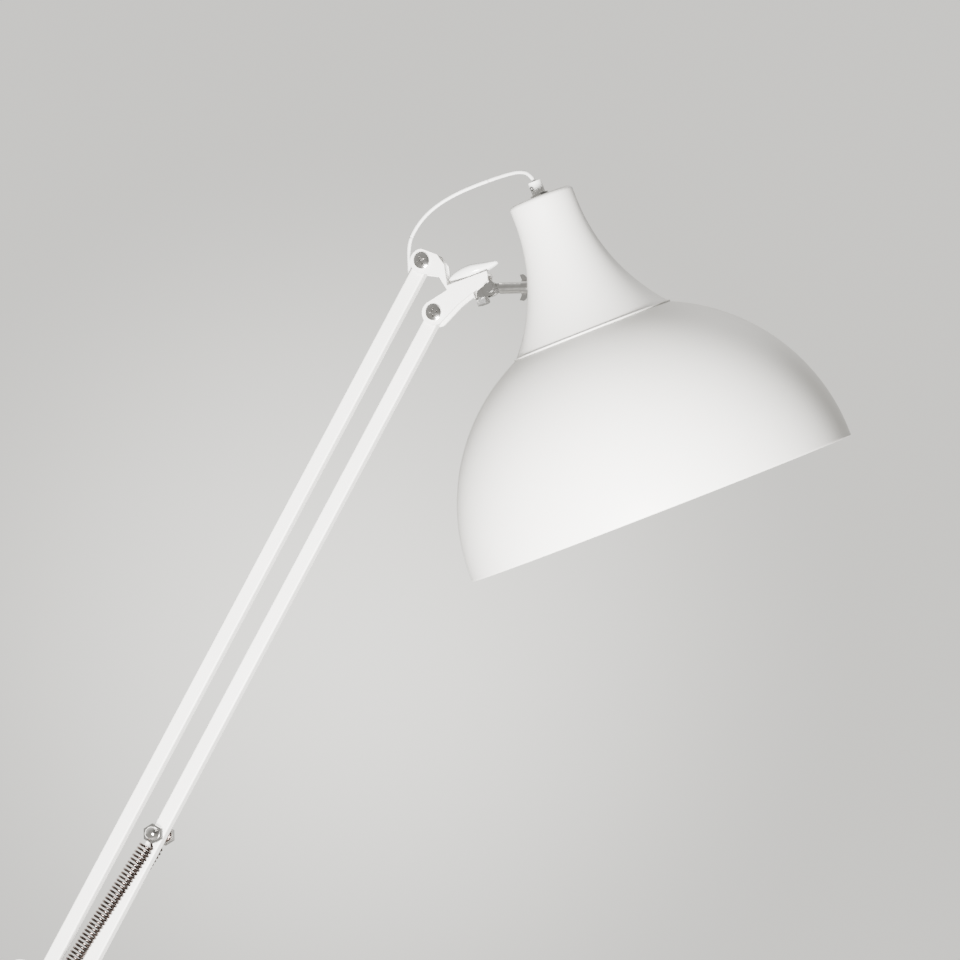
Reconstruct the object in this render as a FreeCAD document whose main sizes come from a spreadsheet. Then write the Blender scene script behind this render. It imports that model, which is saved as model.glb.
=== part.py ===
import FreeCAD, Part
import math
import os
import re
from types import SimpleNamespace

from Sketcher import Constraint

# Free-standing floor lamp with two parallel-bar arms, balanced by springs.
# Millimetres, +Z up. The origin is the middle of the underside of the round base.
# The arms move in the XZ plane and lean towards +X; the viewer's side is -Y.

DRIVING = {
    # base
    "baseRadius": 150, "padInset": 6, "padThickness": 3, "coverWall": 1.5, "coverLift": 2,
    "coverSide": 24, "coverCrown": 30, "coverCorner": 9, "crownRadius": 26, "bossRadius": 22,
    "weightThickness": 18, "nutRecessRadius": 14, "nutRecessDepth": 10,
    "studRadius": 5, "studBore": 3.4, "nutFlats": 14, "nutHeight": 6,
    "leadGrooveWidth": 9, "leadHeight": 8.5,
    # pole
    "poleRadius": 11, "poleWall": 1.5, "lowerPoleLength": 266, "upperPoleLength": 265.5, "polePlug": 24,
    "joinerLength": 60, "joinerBore": 6, "flangeRadius": 19, "flangeHeight": 9,
    "bushLength": 40, "bushCollar": 2, "spindleRadius": 6, "spindleBore": 3, "runClearance": 0.05,
    "turntableDisc": 14, "turntableDiscHeight": 4, "turntableGap": 0.3,
    # arms
    "barSize": 10, "barWall": 1, "barCorner": 1.2, "barOverhang": 7, "pivotRadius": 3,
    "lowerArm": 520, "lowerAngle": 105, "upperArm": 600, "upperAngle": 61,
    "plateGap": 0.4, "plateThickness": 2, "plateEnd": 8.6, "turnPivotHeight": 600, "turnSpread": 32,
    "blockHeight": 13, "blockEnd": 6,
    "elbowRise": 60.2, "elbowShift": 13.5, "headSpreadX": 8.5, "headSpreadZ": 36.2,
    # pivot screws, spring bolts and springs
    "screwHeadRadius": 5.7, "screwHeadHeight": 3.2, "crossWidth": 1.1, "crossLength": 6.4, "crossDepth": 1.8,
    "lockNutFlats": 10, "lockNutHeight": 5, "boltRadius": 3, "boltFromElbow": 190, "boltFromTurntable": 190,
    "acornGap": 0.5, "acornFlats": 12.5, "acornHex": 4.5, "acornDome": 5.2,
    "springRadius": 5.6, "springWire": 1.4, "springGap": 0.4, "springPinShare": 0.6,
    "springTopGap": 9, "springFootGap": 30, "springEyeGap": 0.4, "pinRadius": 2.4, "pinHeadRadius": 4,
    "pinHeadHeight": 2, "pinClear": 1.5,
    # head bracket, knuckle and rod
    "webSlope": 18.5, "webThickness": 2, "boltX": 36.2, "boltZ": 11.4, "knuckleRadius": 5.2,
    "knuckleHeight": 13, "clampBoltRadius": 2.5, "clampNutFlats": 8, "clampNutHeight": 4,
    "tiltAlong": 7.6, "tiltDown": 9.2, "webLeft": 19.5, "webRight": 10.2, "lugRadius": 5,
    "eyeRadius": 4.8, "eyeHalf": 2.2, "eyeGap": 0.2, "eyeReach": 7, "rodRadius": 4, "rodReach": 27.3,
    "rodStudRadius": 3, "rodStudLength": 7, "lockNutGap": 1.2, "neckNutRadius": 5,
    "tiltScrewRadius": 2, "tiltHeadRadius": 3.4, "tiltHeadHeight": 1.8,
    "knobHubRadius": 7, "knobHeight": 8.8, "knobSpan": 18.3, "knobWing": 4.6, "knobLift": 0.3,
    "wingNutThickness": 4.6, "wingNutHub": 5, "wingNutSpan": 9.3, "wingNutBlade": 2.2, "wingNutSweep": 3.5,
    "wingNutGap": 0.3,
    # shade
    "shadeTilt": 19.4, "shadeTwist": 10.2,
    "domeRadius": 140, "domeWall": 1.2, "rimSkirt": 3.4, "seamRadius": 57,
    "neckHeight": 99.8, "neckTopRadius": 23, "neckStraight": 10, "neckWall": 1.2,
    "neckLip": 0.8, "lipHeight": 1.6, "neckTopCorner": 4.5, "rodSeat": 44.2,
    "ringRadius": 6.5, "ringHeight": 1.8, "gripRadius": 4.75, "gripHeight": 9, "gripSpigot": 3.5,
    "gripScrewRadius": 1.6, "flexRadius": 1.3, "flexGap": 0.1,
    "turnFlex": 36, "elbowFlexLow": 36, "elbowFlexTop": 40,
    "holderRadius": 19.5, "holderWall": 2, "holderLength": 44, "holderDrop": 3,
    "bulbCapRadius": 13, "bulbCapLength": 26, "bulbRadius": 30, "bulbLength": 78,
    # mains lead and foot switch
    "leadRadius": 2.9, "glandRadius": 4.2, "glandFlange": 7, "glandLength": 30, "glandTip": 3.6,
    "switchLength": 62, "switchWidth": 27, "switchCorner": 9, "switchWall": 2, "switchBase": 9,
    "switchCover": 8, "buttonRadius": 8.5, "buttonHeight": 7, "buttonStand": 3, "buttonGap": 0.3,
    "switchX": 112, "switchY": 232,
    "coilX": -62, "coilY": 222, "coilMean": 32, "coilHalf": 9, "coilHeight": 17.4,
    "tieWidth": 12, "tieWall": 1.2, "tieSlack": 1, "plugLength": 36, "plugRadius": 9, "plugX": -153,
    "plugY": 163, "plugPinRadius": 2.4, "plugPinLength": 19, "plugPinSpread": 9.5,
}

doc = FreeCAD.newDocument("arm_floor_lamp")
sheet = doc.addObject("Spreadsheet::Sheet", "Sizes")
for row, (alias, number) in enumerate(DRIVING.items(), start=1):
    sheet.set("A%d" % row, alias)
    sheet.set("B%d" % row, str(number))
    sheet.setAlias("B%d" % row, alias)
doc.recompute()
v = SimpleNamespace(**{alias: float(sheet.get(alias)) for alias in DRIVING})

Vec = FreeCAD.Vector
UP = Vec(0, 0, 1)
ACROSS = Vec(0, 1, 0)
NO_TURN = FreeCAD.Rotation()
ALONG_Y = FreeCAD.Rotation(Vec(1, 0, 0), -90)
ALONG_X = FreeCAD.Rotation(ACROSS, 90)
nodes = []


def lean(degrees):
    """Turn about Y that carries +Z towards +X by this many degrees."""
    return FreeCAD.Rotation(ACROSS, degrees)


def tied(text):
    """An expression over the sheet's cells, from their bare names."""
    def cell(word):
        return "Sizes." + word.group() if word.group() in DRIVING else word.group()

    return re.sub(r"[A-Za-z]+", cell, text)


probe = doc.addObject("Part::Vertex", "Probe")


def measured(text):
    """What an expression over the sheet comes to."""
    probe.setExpression("X", tied(text))
    probe.recompute()
    return probe.X.Value


def place(thing, at=(0, 0, 0), turn=NO_TURN):
    thing.Placement = FreeCAD.Placement(Vec(*at), turn)
    return thing


def solid(kind, name, at=(0, 0, 0), turn=NO_TURN, **sizes):
    """A Part primitive with its sizes bound to the sheet."""
    thing = doc.addObject("Part::" + kind, name)
    for size, text in sizes.items():
        thing.setExpression(size, tied(text))
    return place(thing, at, turn)


def rod(name, radius, length, at=(0, 0, 0), turn=NO_TURN):
    return solid("Cylinder", name, at, turn, Radius=radius, Height=length)


def block(name, along, across, high, at=(0, 0, 0), turn=NO_TURN):
    return solid("Box", name, at, turn, Length=along, Width=across, Height=high)


def cut(name, base, *tools):
    """base less each tool in turn."""
    for count, tool in enumerate(tools):
        less = doc.addObject("Part::Cut", name + "Cut%d" % count)
        less.Base = base
        less.Tool = tool
        base = less
    return base


def fuse(name, *shapes):
    thing = doc.addObject("Part::MultiFuse", name)
    thing.Shapes = list(shapes)
    return thing


def group(name, *shapes):
    thing = doc.addObject("Part::Compound", name)
    thing.Links = list(shapes)
    return thing


def mirrored(name, source):
    thing = doc.addObject("Part::Mirroring", name)
    thing.Source = source
    thing.Normal = ACROSS
    return thing


def node(label, thing, at=None, turn=NO_TURN):
    """Name a finished sub-part and put it in its place."""
    thing.Label = label
    if at is not None:
        place(thing, at, turn)
    nodes.append(thing)
    return thing


def newBody(name):
    return doc.addObject("PartDesign::Body", name)


def sketchOn(body, role, name, raised="0"):
    sketch = body.newObject("Sketcher::SketchObject", name)
    plane = [feature for feature in body.Origin.OriginFeatures if feature.Role == role][0]
    sketch.AttachmentSupport = [(plane, "")]
    sketch.MapMode = "FlatFace"
    sketch.setExpression(".AttachmentOffset.Base.z", tied(raised))
    return sketch


def bound(sketch, constraint, text):
    """Add a dimension that follows the sheet."""
    index = sketch.addConstraint(constraint)
    sketch.setExpression("Constraints[%d]" % index, tied(text))


def pinned(sketch, item, vertex, x, y):
    """Hold one point of the sketch at x, y, both expressions."""
    bound(sketch, Constraint("DistanceX", -1, 1, item, vertex, measured(x)), x)
    bound(sketch, Constraint("DistanceY", -1, 1, item, vertex, measured(y)), y)


def circle(sketch, x, y, radius):
    item = sketch.addGeometry(Part.Circle(Vec(measured(x), measured(y), 0), UP, measured(radius)), False)
    pinned(sketch, item, 3, x, y)
    bound(sketch, Constraint("Radius", item, measured(radius)), radius)


def rounded(sketch, centres, radius):
    """The outline round equal circles at centres, listed counter-clockwise: lines joined by tangent arcs."""
    size = measured(radius)
    spots = [Vec(measured(x), measured(y), 0) for x, y in centres]
    count = len(spots)
    outward = []
    for here, there in zip(spots, spots[1:] + spots[:1]):
        run = (there - here).normalize()
        outward.append(Vec(run.y, -run.x, 0) * size)
    arcs = []
    for index, spot in enumerate(spots):
        before = outward[index - 1]
        after = outward[index]
        start = math.atan2(before.y, before.x)
        end = math.atan2(after.y, after.x)
        arc = Part.ArcOfCircle(Part.Circle(spot, UP, size), start, end)
        arcs.append(sketch.addGeometry(arc, False))
        pinned(sketch, arcs[-1], 3, *centres[index])
        bound(sketch, Constraint("Radius", arcs[-1], size), radius)
    for index in range(count):
        following = (index + 1) % count
        line = Part.LineSegment(spots[index] + outward[index], spots[following] + outward[index])
        item = sketch.addGeometry(line, False)
        sketch.addConstraint(Constraint("Tangent", arcs[index], 2, item, 1))
        sketch.addConstraint(Constraint("Tangent", item, 2, arcs[following], 1))


def outline(sketch, corners, arcs=None):
    """A closed outline through corners; arcs gives a bent side's radius and 1 or -1 for left or right."""
    arcs = arcs or {}
    spots = [Vec(measured(x), measured(y), 0) for x, y in corners]
    count = len(spots)
    items = []
    for index, start in enumerate(spots):
        end = spots[(index + 1) % count]
        if index in arcs:
            text, side = arcs[index]
            radius = measured(text)
            chord = end - start
            rise = math.sqrt(radius ** 2 - chord.Length ** 2 / 4)
            left = Vec(-chord.y, chord.x, 0).normalize()
            centre = (start + end) * 0.5 + left * (rise * side)
            first, last = (start, end) if side > 0 else (end, start)
            turn = [math.atan2(spot.y - centre.y, spot.x - centre.x) for spot in (first, last)]
            items.append(sketch.addGeometry(Part.ArcOfCircle(Part.Circle(centre, UP, radius), *turn), False))
        else:
            items.append(sketch.addGeometry(Part.LineSegment(start, end), False))
    for index, item in enumerate(items):
        start, end = (1, 2) if index not in arcs or arcs[index][1] > 0 else (2, 1)
        follower = (index + 1) % count
        head = 1 if follower not in arcs or arcs[follower][1] > 0 else 2
        pinned(sketch, item, start, *corners[index])
        sketch.addConstraint(Constraint("Coincident", item, end, items[follower], head))
        if index in arcs:
            bound(sketch, Constraint("Radius", item, measured(arcs[index][0])), arcs[index][0])


def pad(body, sketch, length, both=False):
    feature = body.newObject("PartDesign::Pad", sketch.Name + "Pad")
    feature.Profile = sketch
    feature.setExpression("Length", tied(length))
    feature.SideType = "Symmetric" if both else "One side"
    return feature


def pocket(body, sketch, length):
    """Cut equally to both sides of the sketch."""
    feature = body.newObject("PartDesign::Pocket", sketch.Name + "Pocket")
    feature.Profile = sketch
    feature.setExpression("Length", tied(length))
    feature.SideType = "Symmetric"
    return feature


def turned(body, sketch):
    """Revolve the sketch about its own vertical axis."""
    feature = body.newObject("PartDesign::Revolution", sketch.Name + "Turned")
    feature.Profile = sketch
    feature.ReferenceAxis = (sketch, ["V_Axis"])
    feature.Angle = 360
    return feature


# where the mechanism's pivots are

def polar(degrees, length):
    return Vec(math.cos(math.radians(degrees)), 0, math.sin(math.radians(degrees))) * length


halfWidth = v.barSize / 2 + v.plateGap + v.plateThickness
poleFoot = v.coverCrown - v.coverWall
poleJoint = poleFoot + v.lowerPoleLength
poleTop = poleJoint + v.upperPoleLength
turntableFoot = poleTop + v.bushCollar + v.turntableGap
turnRear = Vec(-v.turnSpread / 2, 0, v.turnPivotHeight)
turnFront = turnRear + Vec(v.turnSpread, 0, 0)
lowerRun = polar(v.lowerAngle, v.lowerArm)
elbowRear = turnRear + lowerRun
elbowFront = turnFront + lowerRun
headSpread = Vec(v.headSpreadX, 0, -v.headSpreadZ)
elbowTop = elbowRear + Vec(v.elbowShift, 0, v.elbowRise)
elbowMid = elbowTop + headSpread
upperRun = polar(v.upperAngle, v.upperArm)
headRear = elbowTop + upperRun
headFront = headRear + headSpread
lowerTurn = lean(90 - v.lowerAngle)
upperTurn = lean(90 - v.upperAngle)
webTurn = lean(-v.webSlope)
webTop = headRear + Vec(v.boltX, 0, -v.boltZ)
tiltPivot = webTop + webTurn * Vec(v.tiltAlong, 0, -v.webThickness - v.tiltDown)
shadeTurn = FreeCAD.Rotation(Vec(1, 0, 0), v.shadeTwist) * lean(-v.shadeTilt)
SPREAD = "(seamRadius - neckTopRadius)"
FLARE = "(%s^2 + (neckHeight - neckStraight)^2) / (2 * %s)" % (SPREAD, SPREAD)
SEAM = "rimSkirt + sqrt(domeRadius^2 - seamRadius^2)"
seamHeight = measured(SEAM)
flare = measured(FLARE)
neckTop = seamHeight + v.neckHeight
seatDrop = v.neckHeight - v.neckStraight - v.rodSeat
seatRadius = v.neckTopRadius + flare - math.sqrt(flare ** 2 - seatDrop ** 2)
seat = Vec(-seatRadius, 0, seamHeight + v.rodSeat)
shadeOrigin = tiltPivot + Vec(v.rodReach, 0, 0) - shadeTurn * seat


# base and pole

def basePad():
    node("base_pad", rod("PadDisc", "baseRadius - padInset", "padThickness"))


def baseWeight():
    floor = v.padThickness
    disc = rod("WeightDisc", "baseRadius - coverCorner", "weightThickness", (0, 0, floor))
    boss = rod("WeightBoss", "bossRadius", "coverCrown - coverWall - padThickness", (0, 0, floor))
    recess = rod("WeightRecess", "nutRecessRadius", "nutRecessDepth", (0, 0, floor))
    groove = block("WeightGroove", "leadGrooveWidth", "baseRadius", "nutRecessDepth",
                   (-v.leadGrooveWidth / 2, 0, floor))
    hole = rod("WeightHole", "studRadius", "coverCrown", (0, 0, floor))
    node("base_weight", cut("Weight", fuse("WeightWhole", disc, boss), recess, groove, hole))


def baseCover():
    body = newBody("CoverShell")
    profile = sketchOn(body, "XZ_Plane", "CoverProfile")
    outline(profile, [
        ("baseRadius", "coverLift"),
        ("baseRadius", "coverSide - coverCorner"),
        ("baseRadius - coverCorner", "coverSide"),
        ("crownRadius", "coverCrown"),
        ("poleRadius", "coverCrown"),
        ("poleRadius", "coverCrown - coverWall"),
        ("crownRadius", "coverCrown - coverWall"),
        ("baseRadius - coverCorner", "coverSide - coverWall"),
        ("baseRadius - coverWall", "coverSide - coverCorner"),
        ("baseRadius - coverWall", "coverLift"),
    ], {1: ("coverCorner", 1), 7: ("coverCorner - coverWall", -1)})
    turned(body, profile)
    hole = rod("CoverGlandHole", "glandRadius", "coverCorner * 2",
               (0, v.baseRadius - v.coverCorner, v.leadHeight), ALONG_Y)
    node("base_cover", cut("Cover", body, hole))


def poleStud():
    low = v.padThickness + v.nutRecessDepth - v.nutHeight
    reach = "coverCrown - coverWall - padThickness - nutRecessDepth + nutHeight + polePlug"
    node("pole_stud", cut("Stud", rod("StudRod", "studRadius", reach, (0, 0, low)),
                          rod("StudBore", "studBore", reach, (0, 0, low))))
    nut = solid("Prism", "StudNutHex", (0, 0, low), Polygon="6", Circumradius="nutFlats / sqrt(3)",
                Height="nutHeight")
    node("pole_nut", cut("StudNut", nut, rod("StudNutBore", "studRadius", "nutHeight", (0, 0, low))))


def pole():
    lower = rod("LowerPole", "poleRadius", "lowerPoleLength", (0, 0, poleFoot))
    hollow = rod("LowerHollow", "poleRadius - poleWall", "lowerPoleLength - polePlug",
                 (0, 0, poleFoot + v.polePlug))
    thread = rod("LowerThread", "studRadius", "polePlug", (0, 0, poleFoot))
    node("pole_lower", cut("PoleLower", lower, hollow, thread))
    upper = rod("UpperPole", "poleRadius", "upperPoleLength", (0, 0, poleJoint))
    bore = rod("UpperHollow", "poleRadius - poleWall", "upperPoleLength", (0, 0, poleJoint))
    node("pole_upper", cut("PoleUpper", upper, bore))
    joinerFoot = (0, 0, poleJoint - v.joinerLength / 2)
    joiner = rod("JoinerRod", "poleRadius - poleWall", "joinerLength", joinerFoot)
    inside = rod("JoinerHollow", "joinerBore", "joinerLength", joinerFoot)
    node("pole_joiner", cut("PoleJoiner", joiner, inside))
    crown = (0, 0, v.coverCrown)
    flange = rod("FlangeRing", "flangeRadius", "flangeHeight", crown)
    node("pole_flange", cut("PoleFlange", flange, rod("FlangeBore", "poleRadius", "flangeHeight", crown)))


def poleBush():
    sleeve = rod("BushSleeve", "poleRadius - poleWall", "bushLength", (0, 0, poleTop - v.bushLength))
    collar = rod("BushCollar", "poleRadius", "bushCollar", (0, 0, poleTop))
    bore = rod("BushBore", "spindleRadius + runClearance", "bushLength + bushCollar",
               (0, 0, poleTop - v.bushLength))
    node("pole_bush", cut("PoleBush", fuse("BushWhole", sleeve, collar), bore))


# brackets, screws, bars and springs

def plate(name, centres, holes):
    """The viewer's side plate, flat in XZ and clear of the bars, with a round hole for each pivot."""
    body = newBody(name)
    sketch = sketchOn(body, "XZ_Plane", name + "Outline", "barSize / 2 + plateGap")
    rounded(sketch, centres, "plateEnd")
    for x, z, radius in holes:
        circle(sketch, x, z, radius)
    pad(body, sketch, "plateThickness")
    return body


def platePair(label, name, centres, holes, at):
    near = plate(name, centres, holes)
    node(label, group(name + "Pair", near, mirrored(name + "Far", near)), at)


def screwAndNut(name, spot):
    """A cross-recessed pan-head screw from the viewer's side, with its nut on the far side."""
    face = -halfWidth
    head = rod(name + "Head", "screwHeadRadius", "screwHeadHeight", (0, face - v.screwHeadHeight, 0), ALONG_Y)
    shank = rod(name + "Shank", "pivotRadius", "barSize + 2 * plateGap + 2 * plateThickness + lockNutHeight",
                (0, face, 0), ALONG_Y)
    slots = []
    for turn in (0, 90):
        slot = block(name + "Slot%d" % turn, "crossLength", "crossDepth", "crossWidth")
        aside = FreeCAD.Rotation(ACROSS, turn)
        corner = aside * Vec(-v.crossLength / 2, 0, -v.crossWidth / 2)
        slots.append(place(slot, corner + Vec(0, face - v.screwHeadHeight, 0), aside))
    domed = doc.addObject("Part::Fillet", name + "Domed")
    domed.Base = head
    domed.Edges = [(3, v.screwHeadHeight * 0.6, v.screwHeadHeight * 0.6)]
    screw = fuse(name + "Screw", cut(name + "Recess", domed, *slots), shank)
    hexagon = solid("Prism", name + "Hex", (0, halfWidth, 0), ALONG_Y, Polygon="6",
                    Circumradius="lockNutFlats / sqrt(3)", Height="lockNutHeight")
    thread = rod(name + "Thread", "pivotRadius", "lockNutHeight", (0, halfWidth, 0), ALONG_Y)
    both = group(name, screw, cut(name + "Nut", hexagon, thread))
    return place(both, spot)


def pivots(label, name, spots):
    node(label, group(name, *[screwAndNut(name + "At%d" % count, spot) for count, spot in enumerate(spots)]))


SPRING_SIDE = "(barSize / 2 + springGap + springRadius)"
ACORN_INNER = "(barSize / 2 + springGap + springRadius + springWire / 2 + acornGap)"


def springPin(label, name, spot):
    """Two headed studs, one in each side plate, that the springs hook onto."""
    inner = v.barSize / 2 + v.plateGap
    stem = rod(name + "Stem", "pinRadius", SPRING_SIDE + " + springWire + pinClear - barSize / 2 - plateGap",
               (0, inner, 0), ALONG_Y)
    outer = measured(SPRING_SIDE) + v.springWire + v.pinClear
    cap = rod(name + "Cap", "pinHeadRadius", "pinHeadHeight", (0, outer, 0), ALONG_Y)
    stud = fuse(name + "Stud", stem, cap)
    node(label, group(name, stud, mirrored(name + "Other", stud)), spot)


def turntable():
    foot = (0, 0, turntableFoot)
    disc = rod("TurnDisc", "turntableDisc", "turntableDiscHeight", foot)
    beam = block("TurnBeam", "turnSpread + 2 * blockEnd", "barSize + 2 * plateGap",
                 "blockHeight + turntableDiscHeight",
                 (-v.turnSpread / 2 - v.blockEnd, -v.barSize / 2 - v.plateGap, turntableFoot))
    spindle = rod("TurnSpindle", "spindleRadius", "bushLength", (0, 0, turntableFoot - v.bushLength))
    bore = rod("TurnBore", "spindleBore", "bushLength", (0, 0, turntableFoot - v.bushLength))
    node("turntable_block", cut("Turntable", fuse("TurnWhole", disc, beam, spindle), bore))
    low = "bushCollar + turntableGap + turntableDiscHeight + plateEnd + coverCrown - coverWall" \
          " + lowerPoleLength + upperPoleLength"
    left, right = "-turnSpread / 2", "turnSpread / 2"
    share = "turnSpread / 2 - springPinShare * turnSpread"
    platePair("turntable_plates", "TurnPlate",
              [(left, low), (right, low), (right, "turnPivotHeight"), (left, "turnPivotHeight")],
              [(left, "turnPivotHeight", "pivotRadius"), (right, "turnPivotHeight", "pivotRadius"),
               (share, "turnPivotHeight", "pinRadius")], (0, 0, 0))
    pivots("turntable_pivots", "TurnPivot", [turnRear, turnFront])
    springPin("turntable_spring_pin", "TurnPin", turnFront + (turnRear - turnFront) * v.springPinShare)


def elbow():
    top = ("elbowShift", "elbowRise")
    middle = ("elbowShift + headSpreadX", "elbowRise - headSpreadZ")
    pin = ("elbowShift + headSpreadX * (1 - springPinShare)",
           "elbowRise - headSpreadZ * (1 - springPinShare)")
    platePair("elbow_plates", "ElbowPlate", [("0", "0"), ("turnSpread", "0"), top],
              [("0", "0", "pivotRadius"), ("turnSpread", "0", "pivotRadius"), (*top, "pivotRadius"),
               (*middle, "pivotRadius"), (*pin, "pinRadius")], elbowRear)
    pivots("elbow_pivots", "ElbowPivot", [elbowRear, elbowFront, elbowTop, elbowMid])
    springPin("elbow_spring_pin", "ElbowPin", elbowMid + (elbowTop - elbowMid) * v.springPinShare)


def square(half):
    """The corners of a square about the middle, counter-clockwise, from half its side."""
    less = "-(%s)" % half
    return [(less, less), (half, less), (half, half), (less, half)]


def bar(label, name, length, at, turn, boltAt=None, flexAt=(), entry=None):
    """A square tube, pivot to pivot along its own Z, with its lower pivot at the origin."""
    body = newBody(name)
    section = sketchOn(body, "XY_Plane", name + "Section", "-barOverhang")
    rounded(section, square("barSize / 2 - barCorner"), "barCorner")
    outline(section, square("barSize / 2 - barWall"))
    pad(body, section, "%s + 2 * barOverhang" % length)
    holes = sketchOn(body, "XZ_Plane", name + "Holes")
    circle(holes, "0", "0", "pivotRadius + runClearance")
    circle(holes, "0", length, "pivotRadius + runClearance")
    if boltAt:
        circle(holes, "0", boltAt, "boltRadius")
    pocket(body, holes, "barSize * 2")
    entries = [rod(name + "Entry%d" % count, "flexRadius", "barSize / 2", (-v.barSize / 2, 0, height),
                   ALONG_X)
               for count, height in enumerate(flexAt)]
    if entry:
        entries.append(entry(name))
    node(label, cut(name + "Bar", body, *entries), at, turn)


def springBolt(label, nutsLabel, name, spot, turn):
    """The bolt through the front bar, with a domed nut outside each spring's eye."""
    inner = measured(ACORN_INNER)
    bolt = rod(name, "boltRadius", "2 * (%s + acornHex)" % ACORN_INNER, (0, -inner - v.acornHex, 0), ALONG_Y)
    node(label, group(name + "Only", bolt), spot, turn)
    hexagon = solid("Prism", name + "Hex", (0, inner, 0), ALONG_Y, Polygon="6",
                    Circumradius="acornFlats / sqrt(3)", Height="acornHex")
    dome = solid("Sphere", name + "Dome", (0, inner + v.acornHex, 0), ALONG_Y, Radius="acornDome",
                 Angle1="0", Angle2="90")
    thread = rod(name + "Thread", "boltRadius", "acornHex", (0, inner, 0), ALONG_Y)
    nut = cut(name + "Nut", fuse(name + "NutWhole", hexagon, dome), thread)
    node(nutsLabel, group(name + "Nuts", nut, mirrored(name + "NutNear", nut)), spot, turn)


def springs(label, name, foot, top):
    """The pair of tension springs from the pins at foot to the bolt at top: coil and eyes."""
    run = top - foot
    angle = math.degrees(math.atan2(run.x, run.z))
    length = run.Length
    side = measured(SPRING_SIDE)
    coil = rod(name + "Coil", "springRadius", "%.6f - springFootGap - springTopGap" % length,
               (0, side, v.springFootGap))
    hollow = rod(name + "Hollow", "springRadius - springWire",
                 "%.6f - springFootGap - springTopGap - 2 * springWire" % length,
                 (0, side, v.springFootGap + v.springWire))
    pinEye = v.pinRadius + v.springEyeGap + v.springWire / 2
    boltEye = v.boltRadius + v.springEyeGap + v.springWire / 2
    lowWire = rod(name + "LowWire", "springWire / 2", "springFootGap + springWire - %.6f" % pinEye,
                  (0, side, pinEye))
    topWire = rod(name + "TopWire", "springWire / 2", "springTopGap + springWire - %.6f" % boltEye,
                  (0, side, length - v.springTopGap - v.springWire))
    lowEye = solid("Torus", name + "LowEye", (0, side, 0), ALONG_Y,
                   Radius1="pinRadius + springEyeGap + springWire / 2", Radius2="springWire / 2")
    topEye = solid("Torus", name + "TopEye", (0, side, length), ALONG_Y,
                   Radius1="boltRadius + springEyeGap + springWire / 2", Radius2="springWire / 2")
    far = fuse(name + "Far", cut(name + "Tube", coil, hollow), lowWire, topWire, lowEye, topEye)
    node(label, group(name, far, mirrored(name + "Near", far)), foot, lean(angle))


def lowerArmParts():
    bar("lower_rear_bar", "LowerRear", "lowerArm", turnRear, lowerTurn,
        flexAt=(v.turnFlex, v.lowerArm - v.elbowFlexLow))
    bar("lower_front_bar", "LowerFront", "lowerArm", turnFront, lowerTurn, boltAt="boltFromTurntable")
    bolt = turnFront + polar(v.lowerAngle, v.boltFromTurntable)
    springBolt("lower_spring_bolt", "lower_bolt_nuts", "LowerBolt", bolt, lowerTurn)
    springs("lower_springs", "LowerSpring", turnFront + (turnRear - turnFront) * v.springPinShare, bolt)


def headEntry(name):
    """The slanting hole by the upper end through which the thin lead leaves the bar."""
    foot, top = [Vec(*spot) for spot in HEAD_ROUTE_LOW]
    back = upperTurn.inverted()
    start = Vec(0, 0, v.upperArm) + back * foot
    along = FreeCAD.Rotation(UP, back * (top - foot))
    return place(rod(name + "HeadEntry", "flexRadius", "barSize * 2"), start, along)


def upperArmParts():
    bar("upper_rear_bar", "UpperRear", "upperArm", elbowTop, upperTurn, flexAt=(v.elbowFlexTop,),
        entry=headEntry)
    bar("upper_front_bar", "UpperFront", "upperArm", elbowMid, upperTurn, boltAt="boltFromElbow")
    bolt = elbowMid + polar(v.upperAngle, v.boltFromElbow)
    springBolt("upper_spring_bolt", "upper_bolt_nuts", "UpperBolt", bolt, upperTurn)
    springs("upper_springs", "UpperSpring", elbowMid + (elbowTop - elbowMid) * v.springPinShare, bolt)


# head bracket, knuckle and rod

def onWeb(along, up):
    """A point of the bracket's outline, given along and above the sloping web."""
    return ("boltX + (%s) * cos(webSlope) - (%s) * sin(webSlope)" % (along, up),
            "(%s) * sin(webSlope) + (%s) * cos(webSlope) - boltZ" % (along, up))


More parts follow.
